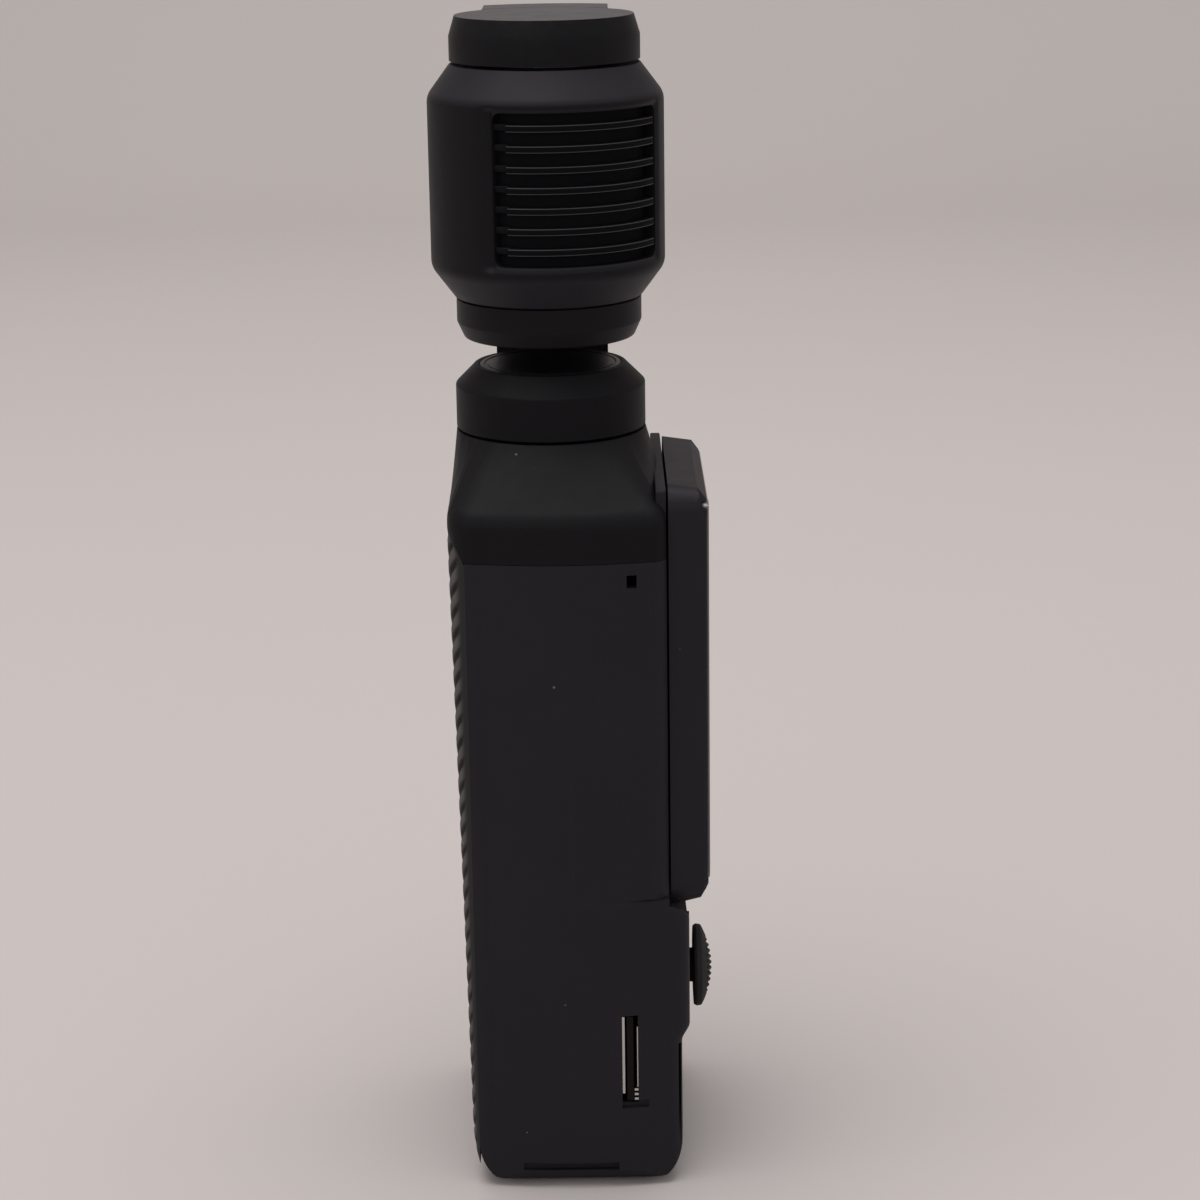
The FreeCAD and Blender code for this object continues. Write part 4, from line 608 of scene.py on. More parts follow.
def barrel_form(sizes, low, high, radius):
    """The barrel's shell, spun, with rows and columns along the heat sink's opening."""
    end, wall, slope, shaft = 11.1, 2.3, 3.6, 3.0
    corners = [
        (shaft, high, 0), (end, high, sizes.fine_edge), (radius, high - slope, sizes.barrel_edge),
        (radius, low + slope, sizes.barrel_edge), (end, low, sizes.fine_edge), (shaft, low, 0),
        (shaft, low + 1, 0), (end - 1.3, low + 1, 0), (radius - wall, low + slope, 0),
        (radius - wall, high - slope, 0), (end - 1.3, high - 1, 0), (shaft, high - 1, 0),
    ]
    return spun(rounded_profile(corners, 6), 240)


def sink_opening(sizes):
    """Half height, first and last azimuth in degrees of the heat sink's opening."""
    low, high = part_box("heat_sink")
    first, last = (round(math.degrees(turn), 4) for turn in (sizes.sink_start, sizes.sink_end))
    return (high.z - low.z) / 2 / MM, first, last


def recess(mesh, sizes, radius):
    """Cuts the heat sink's opening into the barrel, with a soft rim and a shallow run-in on one side."""
    half, first, last = sink_opening(sizes)
    for beyond in (0.9, 0.6, 0.3, -0.2):
        for side in (-1, 1):
            bmesh.ops.bisect_plane(mesh, geom=mesh.verts[:] + mesh.edges[:] + mesh.faces[:], dist=1e-7,
                                   plane_co=(0, 0, side * (half + beyond) * MM), plane_no=UP)
    skin = 1.2
    for vertex in mesh.verts:
        across = math.hypot(vertex.co.x, vertex.co.y)
        if across < (radius - skin) * MM:
            continue
        turn = azimuth(vertex.co)
        per_degree = radius * math.pi / 180
        beside = max((first - turn) * per_degree, (turn - last) * per_degree)
        above = abs(vertex.co.z) / MM - half
        sunk = sink_depth(sizes, beside, above, turn < first + 1)
        vertex.co.x *= (across - sunk * MM) / across
        vertex.co.y *= (across - sunk * MM) / across
    inner, outer = radius - 1.9, radius + 1
    opening = spun([(inner, -half), (outer, -half), (outer, half), (inner, half)], 19, first, last - first)
    return carved(mesh, soften(opening, sizes.recess_corner, 60, 4, lambda edge: across_wall(edge, outer)))


def across_wall(edge, radius):
    """Whether an edge of the opening runs straight out, at one of its four corners."""
    near, far = sorted(vertex.co.to_2d().length / MM for vertex in edge.verts)
    return far - near > 1 and far > radius - 0.1


def sink_depth(sizes, beside, above, on_ramp):
    """How far the surface lies below the barrel, by its distance outside the opening."""
    rim, deep = (sizes.recess_ramp, 0.75) if on_ramp and beside > 0 else (sizes.recess_edge, 0.3)
    reach = math.hypot(max(beside, 0) / rim, max(above, 0) / sizes.recess_edge)
    return deep * max(0.0, 1 - reach) ** 2


def in_recess(point, radius, opening):
    """Whether a point lies on the walls of the heat sink's opening."""
    half, first, last = opening
    away, turn = point.to_2d().length / MM, azimuth(point)
    level = abs(point.z) < (half + 0.05) * MM
    return level and radius - 2 < away < radius - 0.32 and first - 2 < turn < last + 2


def heat_ribs(sizes, radius):
    """Panel behind the ribs, and the ribs, each with a lower lead-in at its left end."""
    half, first, last = sink_opening(sizes)
    floor, crest, lead_in = radius - 1.7, radius - sizes.rib_crest, 7
    panel = [(floor - 1, -half), (floor, -half), (floor, half), (floor - 1, half)]
    parts = [spun(panel, 47, first, last - first)]
    thick, root = sizes.rib_thickness, floor - 0.3
    for order in range(sizes.rib_count):
        middle = (order - (sizes.rib_count - 1) / 2) * sizes.rib_pitch
        low, high = middle - thick / 2, middle + thick / 2
        main = spun([(root, low), (crest, low), (crest, high), (root, high)], 43,
                    first + lead_in, last - first - lead_in - 1.2)
        lead = spun([(root, low + 0.15), (crest - 0.5, low + 0.15), (crest - 0.3, high + 0.08),
                     (root, high + 0.08)], 6, first - 0.6, lead_in + 1.2)
        parts += [soften(main, sizes.rib_edge, 40), soften(lead, sizes.rib_edge * 0.7, 40)]
    return joined(*parts)


def shade_ribs(heat_sink, sizes, radius, groove, edge):
    """Gives the grooves between the ribs a duller black, and the ribs' soft edges and right ends a glossier
    one, made paler as a painted highlight.
    """
    heat_sink.data.materials.append(groove)
    heat_sink.data.materials.append(edge)
    right_ends = math.degrees(sizes.sink_end) - 8
    for face in heat_sink.data.polygons:
        slope, point = abs(face.normal.z), face.center - HEAD_CENTRE
        away = point.to_2d().length / MM
        end = azimuth(point) > right_ends and face.normal.to_2d().dot(point.to_2d().normalized()) < 0.95
        under = face.normal.z < 0 and away < radius - sizes.rib_crest - 0.25
        dull = away < radius - 0.75 or slope > 0.97 or under
        face.material_index = 1 if dull else 2 if slope > 0.15 or end else 0


def note_highlight_slopes(mesh):
    """Notes at each point how much the surface leans from upright, the mask of a painted highlight on sloping
    faces.
    """
    mesh.normal_update()
    slopes = mesh.verts.layers.float.new("slope")
    for vertex in mesh.verts:
        vertex[slopes] = smooth((abs(vertex.normal.z) - 0.12) / 0.5)
    return mesh


class BuildBarrel(bpy.types.Operator):
    """Camera barrel with its soft recess and the ribbed heat sink"""
    bl_idname = "gimbal_camera.barrel"
    bl_label = "Barrel and heat sink"

    def execute(self, context):
        sizes, finishes = measures(context.scene.head_sizes), context.scene.finishes
        low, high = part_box("barrel_shell")
        radius = (high.x - HEAD_CENTRE.x) / MM
        bottom, top = (low.z - HEAD_CENTRE.z) / MM, (high.z - HEAD_CENTRE.z) / MM
        form = recess(barrel_form(sizes, bottom, top, radius), sizes, radius)
        window = aimed(cylinder(sizes.lens_window, 4, 16), lens_way(), Vector())
        form = note_highlight_slopes(moved(carved(form, window, "EXACT"), HEAD_CENTRE))
        # The barrel's sloping faces take a painted highlight, up to 3.2 times paler.
        shell = moulded("shell_barrel", finishes.head, 0.46, dust=finishes.dust, gloss=0.13, slope_highlight=3.2)
        barrel = stand_for("barrel", form, shell, "barrel_shell", limit=38)
        ribs = moved(heat_ribs(sizes, radius), HEAD_CENTRE)
        crest = moulded("rib_black", varied(finishes.head, 0.45), 0.62, 4200, gloss=0.07)
        groove = moulded("groove_black", varied(finishes.head, 1.15), 0.75, 4200, gloss=0.09)
        # Painted highlight: the ribs' soft edges and right ends take the head's black made 3.4 times paler
        # and glossier.
        edge = moulded("rib_edge_black", varied(finishes.head, 3.4), 0.42, 4200, gloss=0.7)
        barrel.data.materials.append(groove)
        opening = sink_opening(sizes)
        for face in barrel.data.polygons:
            point = face.center - HEAD_CENTRE
            outward = face.normal.to_2d().dot(point.to_2d().normalized())
            face.material_index = int(abs(outward) < 0.4 and in_recess(point, radius, opening))
        shade_ribs(stand_for("heat_sink_ribs", ribs, crest, "heat_sink"), sizes, radius, groove, edge)
        return {"FINISHED"}


class BuildCaps(bpy.types.Operator):
    """Tilt cap with the arm that carries it, and the barrel's lower cap"""
    bl_idname = "gimbal_camera.caps"
    bl_label = "Head caps and arm"

    def execute(self, context):
        sizes, finishes = measures(context.scene.head_sizes), context.scene.finishes
        cover = moulded("shell_caps", finishes.head, 0.42, dust=finishes.dust, gloss=0.13)
        arm = softened("roll_arm", "tilt_cap_arm", cover, sizes.fine_edge)
        # Painted highlight: the tilt cap's upward faces take the head's black made 3.4 times paler and
        # glossier.
        top_highlight_cover = moulded("shell_cap_top", varied(finishes.head, 3.4), 0.4, dust=finishes.dust, gloss=0.6)
        arm.data.materials.append(top_highlight_cover)
        for face in arm.data.polygons:
            face.material_index = int(face.normal.z > 0.93)
        low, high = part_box("lower_cap")
        radius, bottom, top = high.x / MM, low.z / MM, high.z / MM
        shaft, chamfer, neck = 3.0, 1.9, top - sizes.cap_seam
        corners = [(shaft, top, 0), (radius - 0.5, top, 0), (radius - 0.5, neck, 0), (radius, neck, 0.1),
                   (radius, bottom + chamfer, 0.5), (radius - 0.85, bottom, 0.4), (shaft, bottom, 0)]
        stand_for("lower_cap_cover", spun(rounded_profile(corners)), cover, "lower_cap")
        return {"FINISHED"}


class BuildLens(bpy.types.Operator):
    """Lens bezel with its stepped hood, the front glass, and what lies behind it"""
    bl_idname = "gimbal_camera.lens"
    bl_label = "Lens"

    def execute(self, context):
        finishes = context.scene.finishes
        way = lens_way()
        hood = [(8.2, 9.65, 0), (8.2, 11.15, 0.2), (8.0, 11.3, 0.1), (7.2, 11.3, 0.15), (6.95, 10.95, 0),
                (6.95, 10.2, 0), (6.6, 10.2, 0), (6.6, 9.65, 0)]
        stand_for("bezel_ring", aimed(spun(rounded_profile(hood)), way, HEAD_CENTRE),
                  moulded("bezel_black", finishes.shell, 0.36, 6500, 6e-6, coat=0.3), "lens_bezel")
        dome = [(0, 10.95), (2.2, 10.93), (4.2, 10.86), (5.8, 10.78), (6.75, 10.7), (6.85, 10.6),
                (6.85, 10.2), (0, 10.2)]
        glass = aimed(spun(dome, 96), way, HEAD_CENTRE)
        stand_for("front_glass_dome", glass, lens_glass("coated_optic"), "front_glass")
        finished("lens_tube", moulded("lens_barrel_black", varied(finishes.shell, 0.7), 0.5, 6500))
        finished("lens_elements", lens_glass("inner_optic"))
        return {"FINISHED"}


class BuildPanRing(bpy.types.Operator):
    """Pan ring on the handle, and the plain disc set in its top"""
    bl_idname = "gimbal_camera.pan_ring"
    bl_label = "Pan ring"

    def execute(self, context):
        finishes = context.scene.finishes
        cover = moulded("shell_pan", finishes.head, 0.46, dust=finishes.dust, gloss=0.1)
        low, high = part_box("pan_ring")
        radius, bottom, top = high.x / MM, low.z / MM, high.z / MM
        chamfer, seat, shaft, wall = 2.3, 8.45, 3.0, 1.1
        corners = [
            (radius, bottom, 0.15), (radius, top - chamfer, 0.45), (radius - chamfer, top, 0.25),
            (seat, top, 0.08), (seat, top - 0.62, 0), (shaft, top - 0.62, 0), (shaft, top - 1.4, 0),
            (radius - wall, top - 1.9, 0), (radius - wall, bottom, 0),
        ]
        stand_for("pan_ring_cover", spun(rounded_profile(corners)), cover, "pan_ring")
        low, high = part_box("pan_disc")
        edge, top = high.x / MM, high.z / MM
        under, line = top - 0.45, top - 0.06
        disc = [(0, top, 0), (edge - 0.9, top, 0.05), (edge - 0.95, line, 0.03), (edge - 0.6, line, 0.03),
                (edge - 0.55, top, 0.05), (edge, top, 0.08), (edge, under, 0), (0, under, 0)]
        satin = moulded("disc_black", varied(finishes.head, 1.4), 0.36, 5200, 4e-6, finishes.dust, 0.15)
        stand_for("pan_disc_plate", spun(rounded_profile(disc, 3)), satin, "pan_disc")
        softened("pan_arm", "pan_arm_cover", cover, 0.3)
        softened("roll_housing", "roll_motor_housing", cover, 0.2)
        softened("roll_cover", "roll_motor_cover", cover, 0.2)
        return {"FINISHED"}


# Handle

def handle_lines(sizes):
    """Where the handle's plan turns, in millimetres."""
    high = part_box("handle_shell")[1] / MM
    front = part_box("front_grip")[0].x / MM + sizes.grip_corner
    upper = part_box("screen_plate")[1].x / MM
    return SimpleNamespace(front=front, upper=upper, lower=upper + sizes.lower_step, pad=high.x, half=high.y)


def side_place(sizes, lines, back, across):
    """Half width of the gently bulging side between the front corner and a back corner."""
    last, crown = back - sizes.back_corner, sizes.side_crown
    reach = (last - lines.front) / 2
    bend = (reach * reach + crown * crown) / (2 * crown)
    away = min(reach, abs(across - (lines.front + last) / 2))
    return lines.half - bend + math.sqrt(bend * bend - away * away)


def side_faces(mesh):
    """Faces of the handle's two narrow sides."""
    return [face for face in mesh.faces
            if abs(face.normal.y) > 0.8 and abs(face.calc_center_median().y) > 17 * MM]


def even_sides(mesh, sizes):
    """Brings the narrow sides, above and below the foot of the screen's sweep, onto one bulging surface."""
    lines, blend, near = handle_lines(sizes), 12, 0.09
    foot = sweep_foot(mesh, lines.half)
    planes = [((across * MM, 0, 0), OUT) for across in spaced(lines.front + 0.6, lines.upper - 2.4, 20)]
    planes += [((0, 0, height * MM), UP) for height in spaced(foot - blend, foot - 0.8, 9)]
    for place, way in planes:
        parts = {item for face in side_faces(mesh) for item in (face, *face.edges, *face.verts)}
        bmesh.ops.bisect_plane(mesh, geom=list(parts), dist=1e-7, plane_co=place, plane_no=way)
    for vertex in mesh.verts:
        across, side, height = vertex.co / MM
        if not lines.front < across < lines.lower - sizes.back_corner:
            continue
        above, below = (side_place(sizes, lines, back, across) for back in (lines.upper, lines.lower))
        if min(abs(abs(side) - above), abs(abs(side) - below)) < near:
            share = smooth((height - foot + blend) / blend)
            vertex.co.y = math.copysign(below + (above - below) * share, side) * MM
    return mesh


def sweep_foot(mesh, half):
    """Height at which the screen's sweep leaves the narrow sides."""
    return min((vertex.co.z / MM for vertex in mesh.verts
                if abs(vertex.co.y) > (half - 0.1) * MM and 30 < vertex.co.z / MM < 45), default=37.0)


def sweep_height(sizes, across):
    """Height of the pad's upper edge, where the turning screen passes."""
    return sizes.sweep_centre - math.sqrt(sizes.sweep_radius ** 2 - across ** 2) - 0.02


def narrowed_pad(mesh, sizes):
    """Draws in the raised pad's straight sides, so that its soft flanks cover them."""
    lower, inner = handle_lines(sizes).lower, 15.5
    for vertex in mesh.verts:
        if vertex.co.x > (lower - 0.4) * MM and abs(abs(vertex.co.y) / MM - sizes.pad_half) < 0.02:
            if vertex.co.z > 30 * MM:
                vertex.co.z -= (sweep_height(sizes, sizes.pad_half) - sweep_height(sizes, inner)) * MM
            vertex.co.y = math.copysign(inner * MM, vertex.co.y)
    return mesh


def free_edge(edge, foot):
    """Whether an edge of the handle is to be softened: all but those that the pad's flanks cover."""
    middle = (edge.verts[0].co + edge.verts[1].co) / 2 / MM
    return not (abs(middle.y) > 14.9 and middle.x > 10.5 and foot - 1 < middle.z < 38)


def pad_flank(sizes, side):
    """A soft flank of the raised pad that runs into the handle's round back corner."""
    lines, foot, corner = handle_lines(sizes), sizes.pad_foot, sizes.back_corner
    rise, centre, edge = lines.pad - lines.lower, lines.lower - corner, lines.half - sizes.side_crown
    turns, rows, step, proud = 14, 60, 0.65, 0.004
    columns = turns + 2
    mesh = bmesh.new()
    bmesh.ops.create_grid(mesh, x_segments=columns, y_segments=rows, size=1)
    for vertex in mesh.verts:
        column, row = (round((part + 1) / 2 * count) for part, count in zip(vertex.co, (columns, rows)))
        turn = math.radians(90 - 90 * min(column, turns) / turns)
        across = edge - corner + corner * math.sin(turn) - step * max(0, column - turns)
        tall = sweep_height(sizes, across) - foot
        height = foot + tall * row / rows
        top_edge = max(0.0, 1 - (foot + tall - height) / 0.9)
        grow = smooth((height - foot) / 2.3) * math.sqrt(max(0.0, 1 - top_edge ** 2))
        outward = centre + (corner + rise * grow) * math.cos(turn) + proud
        vertex.co = Vector((outward, side * (across + proud), height)) * MM
    bmesh.ops.recalc_face_normals(mesh, faces=mesh.faces)
    if sum(face.normal.x for face in mesh.faces) < 0:
        bmesh.ops.reverse_faces(mesh, faces=mesh.faces)
    bmesh.ops.solidify(mesh, geom=mesh.faces[:], thickness=0.5 * MM)
    bmesh.ops.recalc_face_normals(mesh, faces=mesh.faces)
    return mesh


class BuildHandle(bpy.types.Operator):
    """Handle shell, shoulder cover and the plate behind the screen"""
    bl_idname = "gimbal_camera.handle"
    bl_label = "Handle covers"

    def execute(self, context):
        sizes, finishes = measures(context.scene.handle_sizes), context.scene.finishes
        cover = moulded("shell_handle", finishes.shell, 0.56, dust=finishes.dust)
        shell = narrowed_pad(even_sides(traced("handle_shell", 0.05), sizes), sizes)
        shell = soften(shell, sizes.cover_edge, where=lambda edge: free_edge(edge, sizes.pad_foot))
        flanks = [pad_flank(sizes, side) for side in (-1, 1)]
        stand_for("handle_cover", joined(shell, *flanks), cover, "handle_shell")
        # Painted shadow: the shoulder takes the head's darker black for the shadow that the head casts on it.
        shade = moulded("shell_shoulder", finishes.head, 0.5, dust=finishes.dust, gloss=0.12)
        softened("shoulder_cover", "shoulder", shade, sizes.cover_edge)
        softened("screen_plate", "back_plate", cover, sizes.cover_edge)
        return {"FINISHED"}


# Grip

GRIP_TOE = 5.1
GRIP_TOP = 4.1


def grip_stand(height, low, high, thick):
    """How far the grip stands above the handle, by height: thinner downwards, round at its lower end."""
    toe, thinner, lip = low + GRIP_TOE, 1.1, 0.15
    if height > toe:
        share = min(1.0, (height - toe) / (high - 2.6 - toe))
        return thick - thinner * (1 - share)
    return lip + (thick - thinner - lip) * math.sqrt(max(0.0, 1 - ((toe - height) / GRIP_TOE) ** 2))


def grip_form(sizes):
    """The grip's skin as a sheared grid whose rows follow the slanted ribs round the front corners."""
    low, high = (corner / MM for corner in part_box("front_grip"))
    thick, bend = high.x - low.x, sizes.grip_corner
    turn = math.acos(1 - thick / bend)
    flat = high.y - bend * math.sin(turn)
    reach = flat + bend * turn
    slant = math.tan(sizes.grip_slant)
    first, last = low.z - reach * slant - 1, high.z + reach * slant + 1
    rows = int((last - first) / sizes.grip_pitch * 8)
    mesh = bmesh.new()
    crests, grooves = (mesh.verts.layers.float.new(name) for name in ("crest", "groove"))
    bmesh.ops.create_grid(mesh, x_segments=112, y_segments=rows, size=1)
    for vertex in mesh.verts:
        along = vertex.co.x * reach
        upward = first + (vertex.co.y + 1) / 2 * (last - first)
        place, groove, mask = grip_point(sizes, along, upward, upward - slant * along,
                                         (low, high, thick, bend, flat, reach))
        # The groove attribute carries painted shade into the grooves, and the crest attribute a painted
        # highlight onto the crests.
        vertex.co, vertex[grooves] = place, 0.9 * groove * mask
        vertex[crests] = 0.8 * (1 - groove) ** 3 * mask
    for height, way in ((low.z, -1), (high.z, 1)):
        clip(mesh, (0, 0, height), (0, 0, way))
    clip(mesh, (high.x, 0, high.z - GRIP_TOP), (GRIP_TOP, 0, thick))
    bmesh.ops.recalc_face_normals(mesh, faces=mesh.faces)
    if sum(face.normal.x for face in mesh.faces) > 0:
        bmesh.ops.reverse_faces(mesh, faces=mesh.faces)
    bmesh.ops.solidify(mesh, geom=mesh.faces[:], thickness=0.7 * MM)
    for vertex in mesh.verts:
        vertex.co.x = min(vertex.co.x, (high.x + 0.05) * MM)
    bmesh.ops.recalc_face_normals(mesh, faces=mesh.faces)
    return mesh


def grip_point(sizes, along, upward, height, form):
    """Place of one point of the grip's skin, sunk where it lies in a groove."""
    low, high, thick, bend, flat, reach = form
    over = max(0.0, abs(along) - flat) / bend
    side = math.copysign(1, along)
    stand = grip_stand(height, low.z, high.z, thick)
    lift = (thick - bend * (1 - math.cos(over))) * stand / thick
    phase = (upward / sizes.grip_pitch) % 1
    groove = smooth((0.3 - abs(phase - 0.5)) / 0.26)
    top_room = high.z - height - GRIP_TOP * (1 - lift / thick)
    mask = (smooth((reach - abs(along) - 0.6) / 1.3) * smooth((top_room - 0.3) / 0.5)
            * smooth((height - low.z - 0.9) / 1.2))
    sunk = min(sizes.grip_depth, 0.55 * stand) * groove * mask
    across = side * (min(abs(along), flat) + (bend - sunk) * math.sin(over)) if over else along
    outward = lift - sunk * math.cos(over)
    return Vector(((high.x - outward) * MM, across * MM, height * MM)), groove, mask


def clip(mesh, place, way):
    """Cuts off what lies beyond a plane, given in millimetres."""
    bmesh.ops.bisect_plane(mesh, geom=mesh.verts[:] + mesh.edges[:] + mesh.faces[:], dist=1e-8,
                           plane_co=Vector(place) * MM, plane_no=Vector(way).normalized(), clear_outer=True)


class BuildGrip(bpy.types.Operator):
    """Ribbed rubber grip on the handle's front"""
    bl_idname = "gimbal_camera.grip"
    bl_label = "Front grip"

    def execute(self, context):
        sizes, finishes = measures(context.scene.handle_sizes), context.scene.finishes
        painted_relief_light = rubber("grip_rubber", finishes.grip, 0.2, True)
        stand_for("grip_insert", grip_form(sizes), painted_relief_light, "front_grip", limit=60)
        return {"FINISHED"}


# Screen

def screen_ends(mesh):
    """Draws the screen's ends, seen from the side, in to the glass, and its lower end down at the back."""
    low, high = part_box("screen_housing")
    glass_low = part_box("screen_glass")[0]
    shoulder = 0.76
    drawn, top_start, top_run = 1.1 * MM, high.z - 7 * MM, 4.5 * MM
    longer, slant, low_start, side_start = 1.8 * MM, 0.42 * MM, low.z + 3.5 * MM, 14.6 * MM
    bmesh.ops.bisect_plane(mesh, geom=mesh.verts[:] + mesh.edges[:] + mesh.faces[:], dist=1e-8,
                           plane_co=(low.x + shoulder * (high.x - low.x), 0, 0), plane_no=OUT)
    for vertex in mesh.verts:
        forward = (vertex.co.x - low.x) / (high.x - low.x)
        side = abs(vertex.co.y) > side_start
        if vertex.co.z > top_start and forward > 0.8:
            vertex.co.z -= drawn * smooth((vertex.co.z - top_start) / top_run)
        elif (vertex.co.z < glass_low.z or side and vertex.co.z < low_start) and forward < 0.8:
            vertex.co.z -= longer - slant * forward
    return mesh


def round_glass(edge, front, low, high):
    """Whether an edge of the housing's front lies outside the glass's box."""
    first, second = (vertex.co for vertex in edge.verts)
    gap = 0.1 * MM
    return min(first.x, second.x) > front and any(
        abs(point.y) > high.y + gap or not low.z - gap < point.z < high.z + gap for point in (first, second))


class BuildScreen(bpy.types.Operator):
    """Turning screen: its housing, cover glass, display and pivot"""
    bl_idname = "gimbal_camera.screen"
    bl_label = "Screen"

    def execute(self, context):
        sizes, finishes = measures(context.scene.handle_sizes), context.scene.finishes
        cover = moulded("shell_screen", finishes.shell, 0.48, dust=finishes.dust)
        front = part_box("screen_housing")[1].x - 0.01 * MM
        low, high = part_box("screen_glass")
        housing = soften(screen_ends(traced("screen_housing")), sizes.screen_front_edge, clamped=False,
                         where=lambda edge: round_glass(edge, front, low, high))
        stand_for("screen_body", soften(housing, sizes.screen_edge, 30, 3), cover, "screen_housing")
        glass = stand_for("cover_glass", soften(screen_ends(traced("screen_glass")), sizes.glass_edge),
                          polished_glass("glass_black", finishes.glass), "screen_glass")
        glass.data.materials.append(polished_glass("glass_rim", (0.11, 0.10, 0.095)))
        for face in glass.data.polygons:
            face.material_index = int(abs(face.normal.x) < 0.5)
        finished("display_panel", polished_glass("display_black", varied(finishes.glass, 0.7)))
        finished("screen_pivot", bright_metal("pivot_steel", finishes.steel, 0.34))
        finished("pivot_bearing", cast_metal("pivot_alloy", finishes.alloy))
        return {"FINISHED"}


# Controls and slots

def knurl(sizes, radius, top):
    """A closed dome of small pyramids that follows the dome of the cap under it."""
    reach = sizes.knurl_reach
    count = int(2 * reach / sizes.knurl_size)
    step = 2 * reach / count
    mesh = bmesh.new()
    crests, grooves = (mesh.verts.layers.float.new(name) for name in ("crest", "groove"))
    bmesh.ops.create_grid(mesh, x_segments=count, y_segments=count, size=reach * MM)
    beyond = [vertex for vertex in mesh.verts if vertex.co.length > reach * MM]
    bmesh.ops.delete(mesh, geom=beyond, context="VERTS")
    loose = [vertex for vertex in mesh.verts if not vertex.link_faces]
    bmesh.ops.delete(mesh, geom=loose, context="VERTS")
    for vertex in mesh.verts:
        peak = round((vertex.co.x / MM + reach) / step) % 2 * (round((vertex.co.y / MM + reach) / step) % 2)
        rise = dome_height(sizes, vertex.co.length / MM, radius, top) + sizes.knurl_depth * (peak - 1)
        vertex.co.z = rise * MM
        # Painted highlight on the pyramids' peaks and painted shade between them, through the crest and
        # groove attributes.
        vertex[crests], vertex[grooves] = 0.9 * peak, 0.8 * (1 - peak)
    border = [edge for edge in mesh.edges if edge.is_boundary]
    skirt = bmesh.ops.extrude_edge_only(mesh, edges=border)["geom"]
    for vertex in (item for item in skirt if isinstance(item, bmesh.types.BMVert)):
        vertex.co.z = (top - sizes.dome_bulge - 0.2) * MM
    bmesh.ops.holes_fill(mesh, edges=[edge for edge in mesh.edges if edge.is_boundary])
    bmesh.ops.rotate(mesh, verts=mesh.verts, cent=(0, 0, 0), matrix=Matrix.Rotation(sizes.knurl_turn, 3, "Z"))
    bmesh.ops.recalc_face_normals(mesh, faces=mesh.faces)
    return mesh


def dome_height(sizes, away, radius, top):
    """Height of the joystick's dome at a distance from its axis."""
    return top - sizes.dome_bulge * (away / radius) ** 2


class BuildControls(bpy.types.Operator):
    """Joystick with its knurled dome, and the record button in its light ring"""
    bl_idname = "gimbal_camera.controls"
    bl_label = "Controls"

    def execute(self, context):
        sizes, finishes = measures(context.scene.handle_sizes), context.scene.finishes
        low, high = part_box("joystick_cap")
        middle = (low + high) / 2
        radius, top, back = (high.z - low.z) / 2 / MM - 0.3, high.x / MM, low.x / MM
        rim_back, stem, reach = top - 2.3, 2.1, sizes.knurl_reach
        cap = [(away, dome_height(sizes, away, radius, top) - sizes.knurl_depth - 0.05, 0)
               for away in (0, 0.3 * reach, 0.6 * reach, reach - 0.3)]
        cap += [(away, dome_height(sizes, away, radius, top) - 0.05, 0)
                for away in (reach + 0.1, reach + 0.7)]
        cap += [(radius - 0.1, top - sizes.dome_bulge, 0.3), (radius, top - 1.95, 0.15),
                (radius - 0.2, rim_back, 0.12), (stem, rim_back, 0), (stem, back, 0), (0, back, 0)]
        form = joined(spun(rounded_profile(cap), 96), knurl(sizes, radius, top))
        form = aimed(form, OUT, Vector((0, middle.y, middle.z)))
        control = rubber("joystick_rubber", finishes.control, painted_relief_light=True)
        stand_for("joystick_top", form, control, "joystick_cap", limit=20)
        softened("record_button", "record_key", moulded("record_red", finishes.record, 0.3, 5200, 4e-6), 0.12)
        softened("record_ring", "record_light", polished_glass("light_guide", (0.05, 0.05, 0.055)), 0.1)
        for node in ("joystick_yoke", "joystick_hub"):
            finished(node, moulded(f"{node}_black", varied(finishes.shell, 0.8), 0.45))
        finished("joystick_module", bright_metal("module_steel", finishes.steel, 0.3))
        finished("record_switch", moulded("switch_black", finishes.shell, 0.42))
        return {"FINISHED"}


def block(low, high):
    """A box from one corner to the other."""
    mesh = bmesh.new()
    bmesh.ops.create_cube(mesh, size=1)
    for vertex in mesh.verts:
        vertex.co = Vector([(a + b) / 2 + part * (b - a) for a, b, part in zip(low, high, vertex.co)])
    return mesh


def slot_strips(lip):
    """Folded edges of the card cage beside the card, near the mouth of its slot."""
    cage_low, cage_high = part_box("card_cage")
    card_low, card_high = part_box("memory_card")
    mouth = card_low.y - 0.25 * MM
    deep = mouth + 1.2 * MM
    left, right = cage_low.x + 0.3 * MM, cage_high.x - 0.3 * MM
    low, high = cage_low.z + 0.5 * MM, cage_high.z - 0.5 * MM
    strips = [block((left, mouth, low + 1.1 * MM), (left + lip * MM, deep, high)),
              block((right - lip * 0.4 * MM, mouth + 0.3 * MM, low + 1.8 * MM),
                    (right, deep, high - 1.4 * MM))]
    for order in range(3):
        tall = low + (0.15 + 0.6 * order) * MM
        strips.append(block((card_high.x + 0.1 * MM, mouth + 0.2 * MM, tall), (right, deep, tall + 0.3 * MM)))
    return strips


class BuildSlots(bpy.types.Operator):
    """Card slot with its cage and card, and the data socket"""
    bl_idname = "gimbal_camera.slots"
    bl_label = "Card slot and socket"

    def execute(self, context):
        finishes = context.scene.finishes
        sheet = joined(traced("card_cage"), *slot_strips(measures(context.scene.handle_sizes).slot_lip))
        stand_for("card_cage_sheet", sheet, bright_metal("cage_steel", finishes.steel, 0.25), "card_cage")
        finished("memory_card", moulded("card_black", finishes.card, 0.4, 5200, 4e-6, gloss=0.12))
        finished("data_socket", bright_metal("socket_steel", finishes.steel, 0.22))
        return {"FINISHED"}


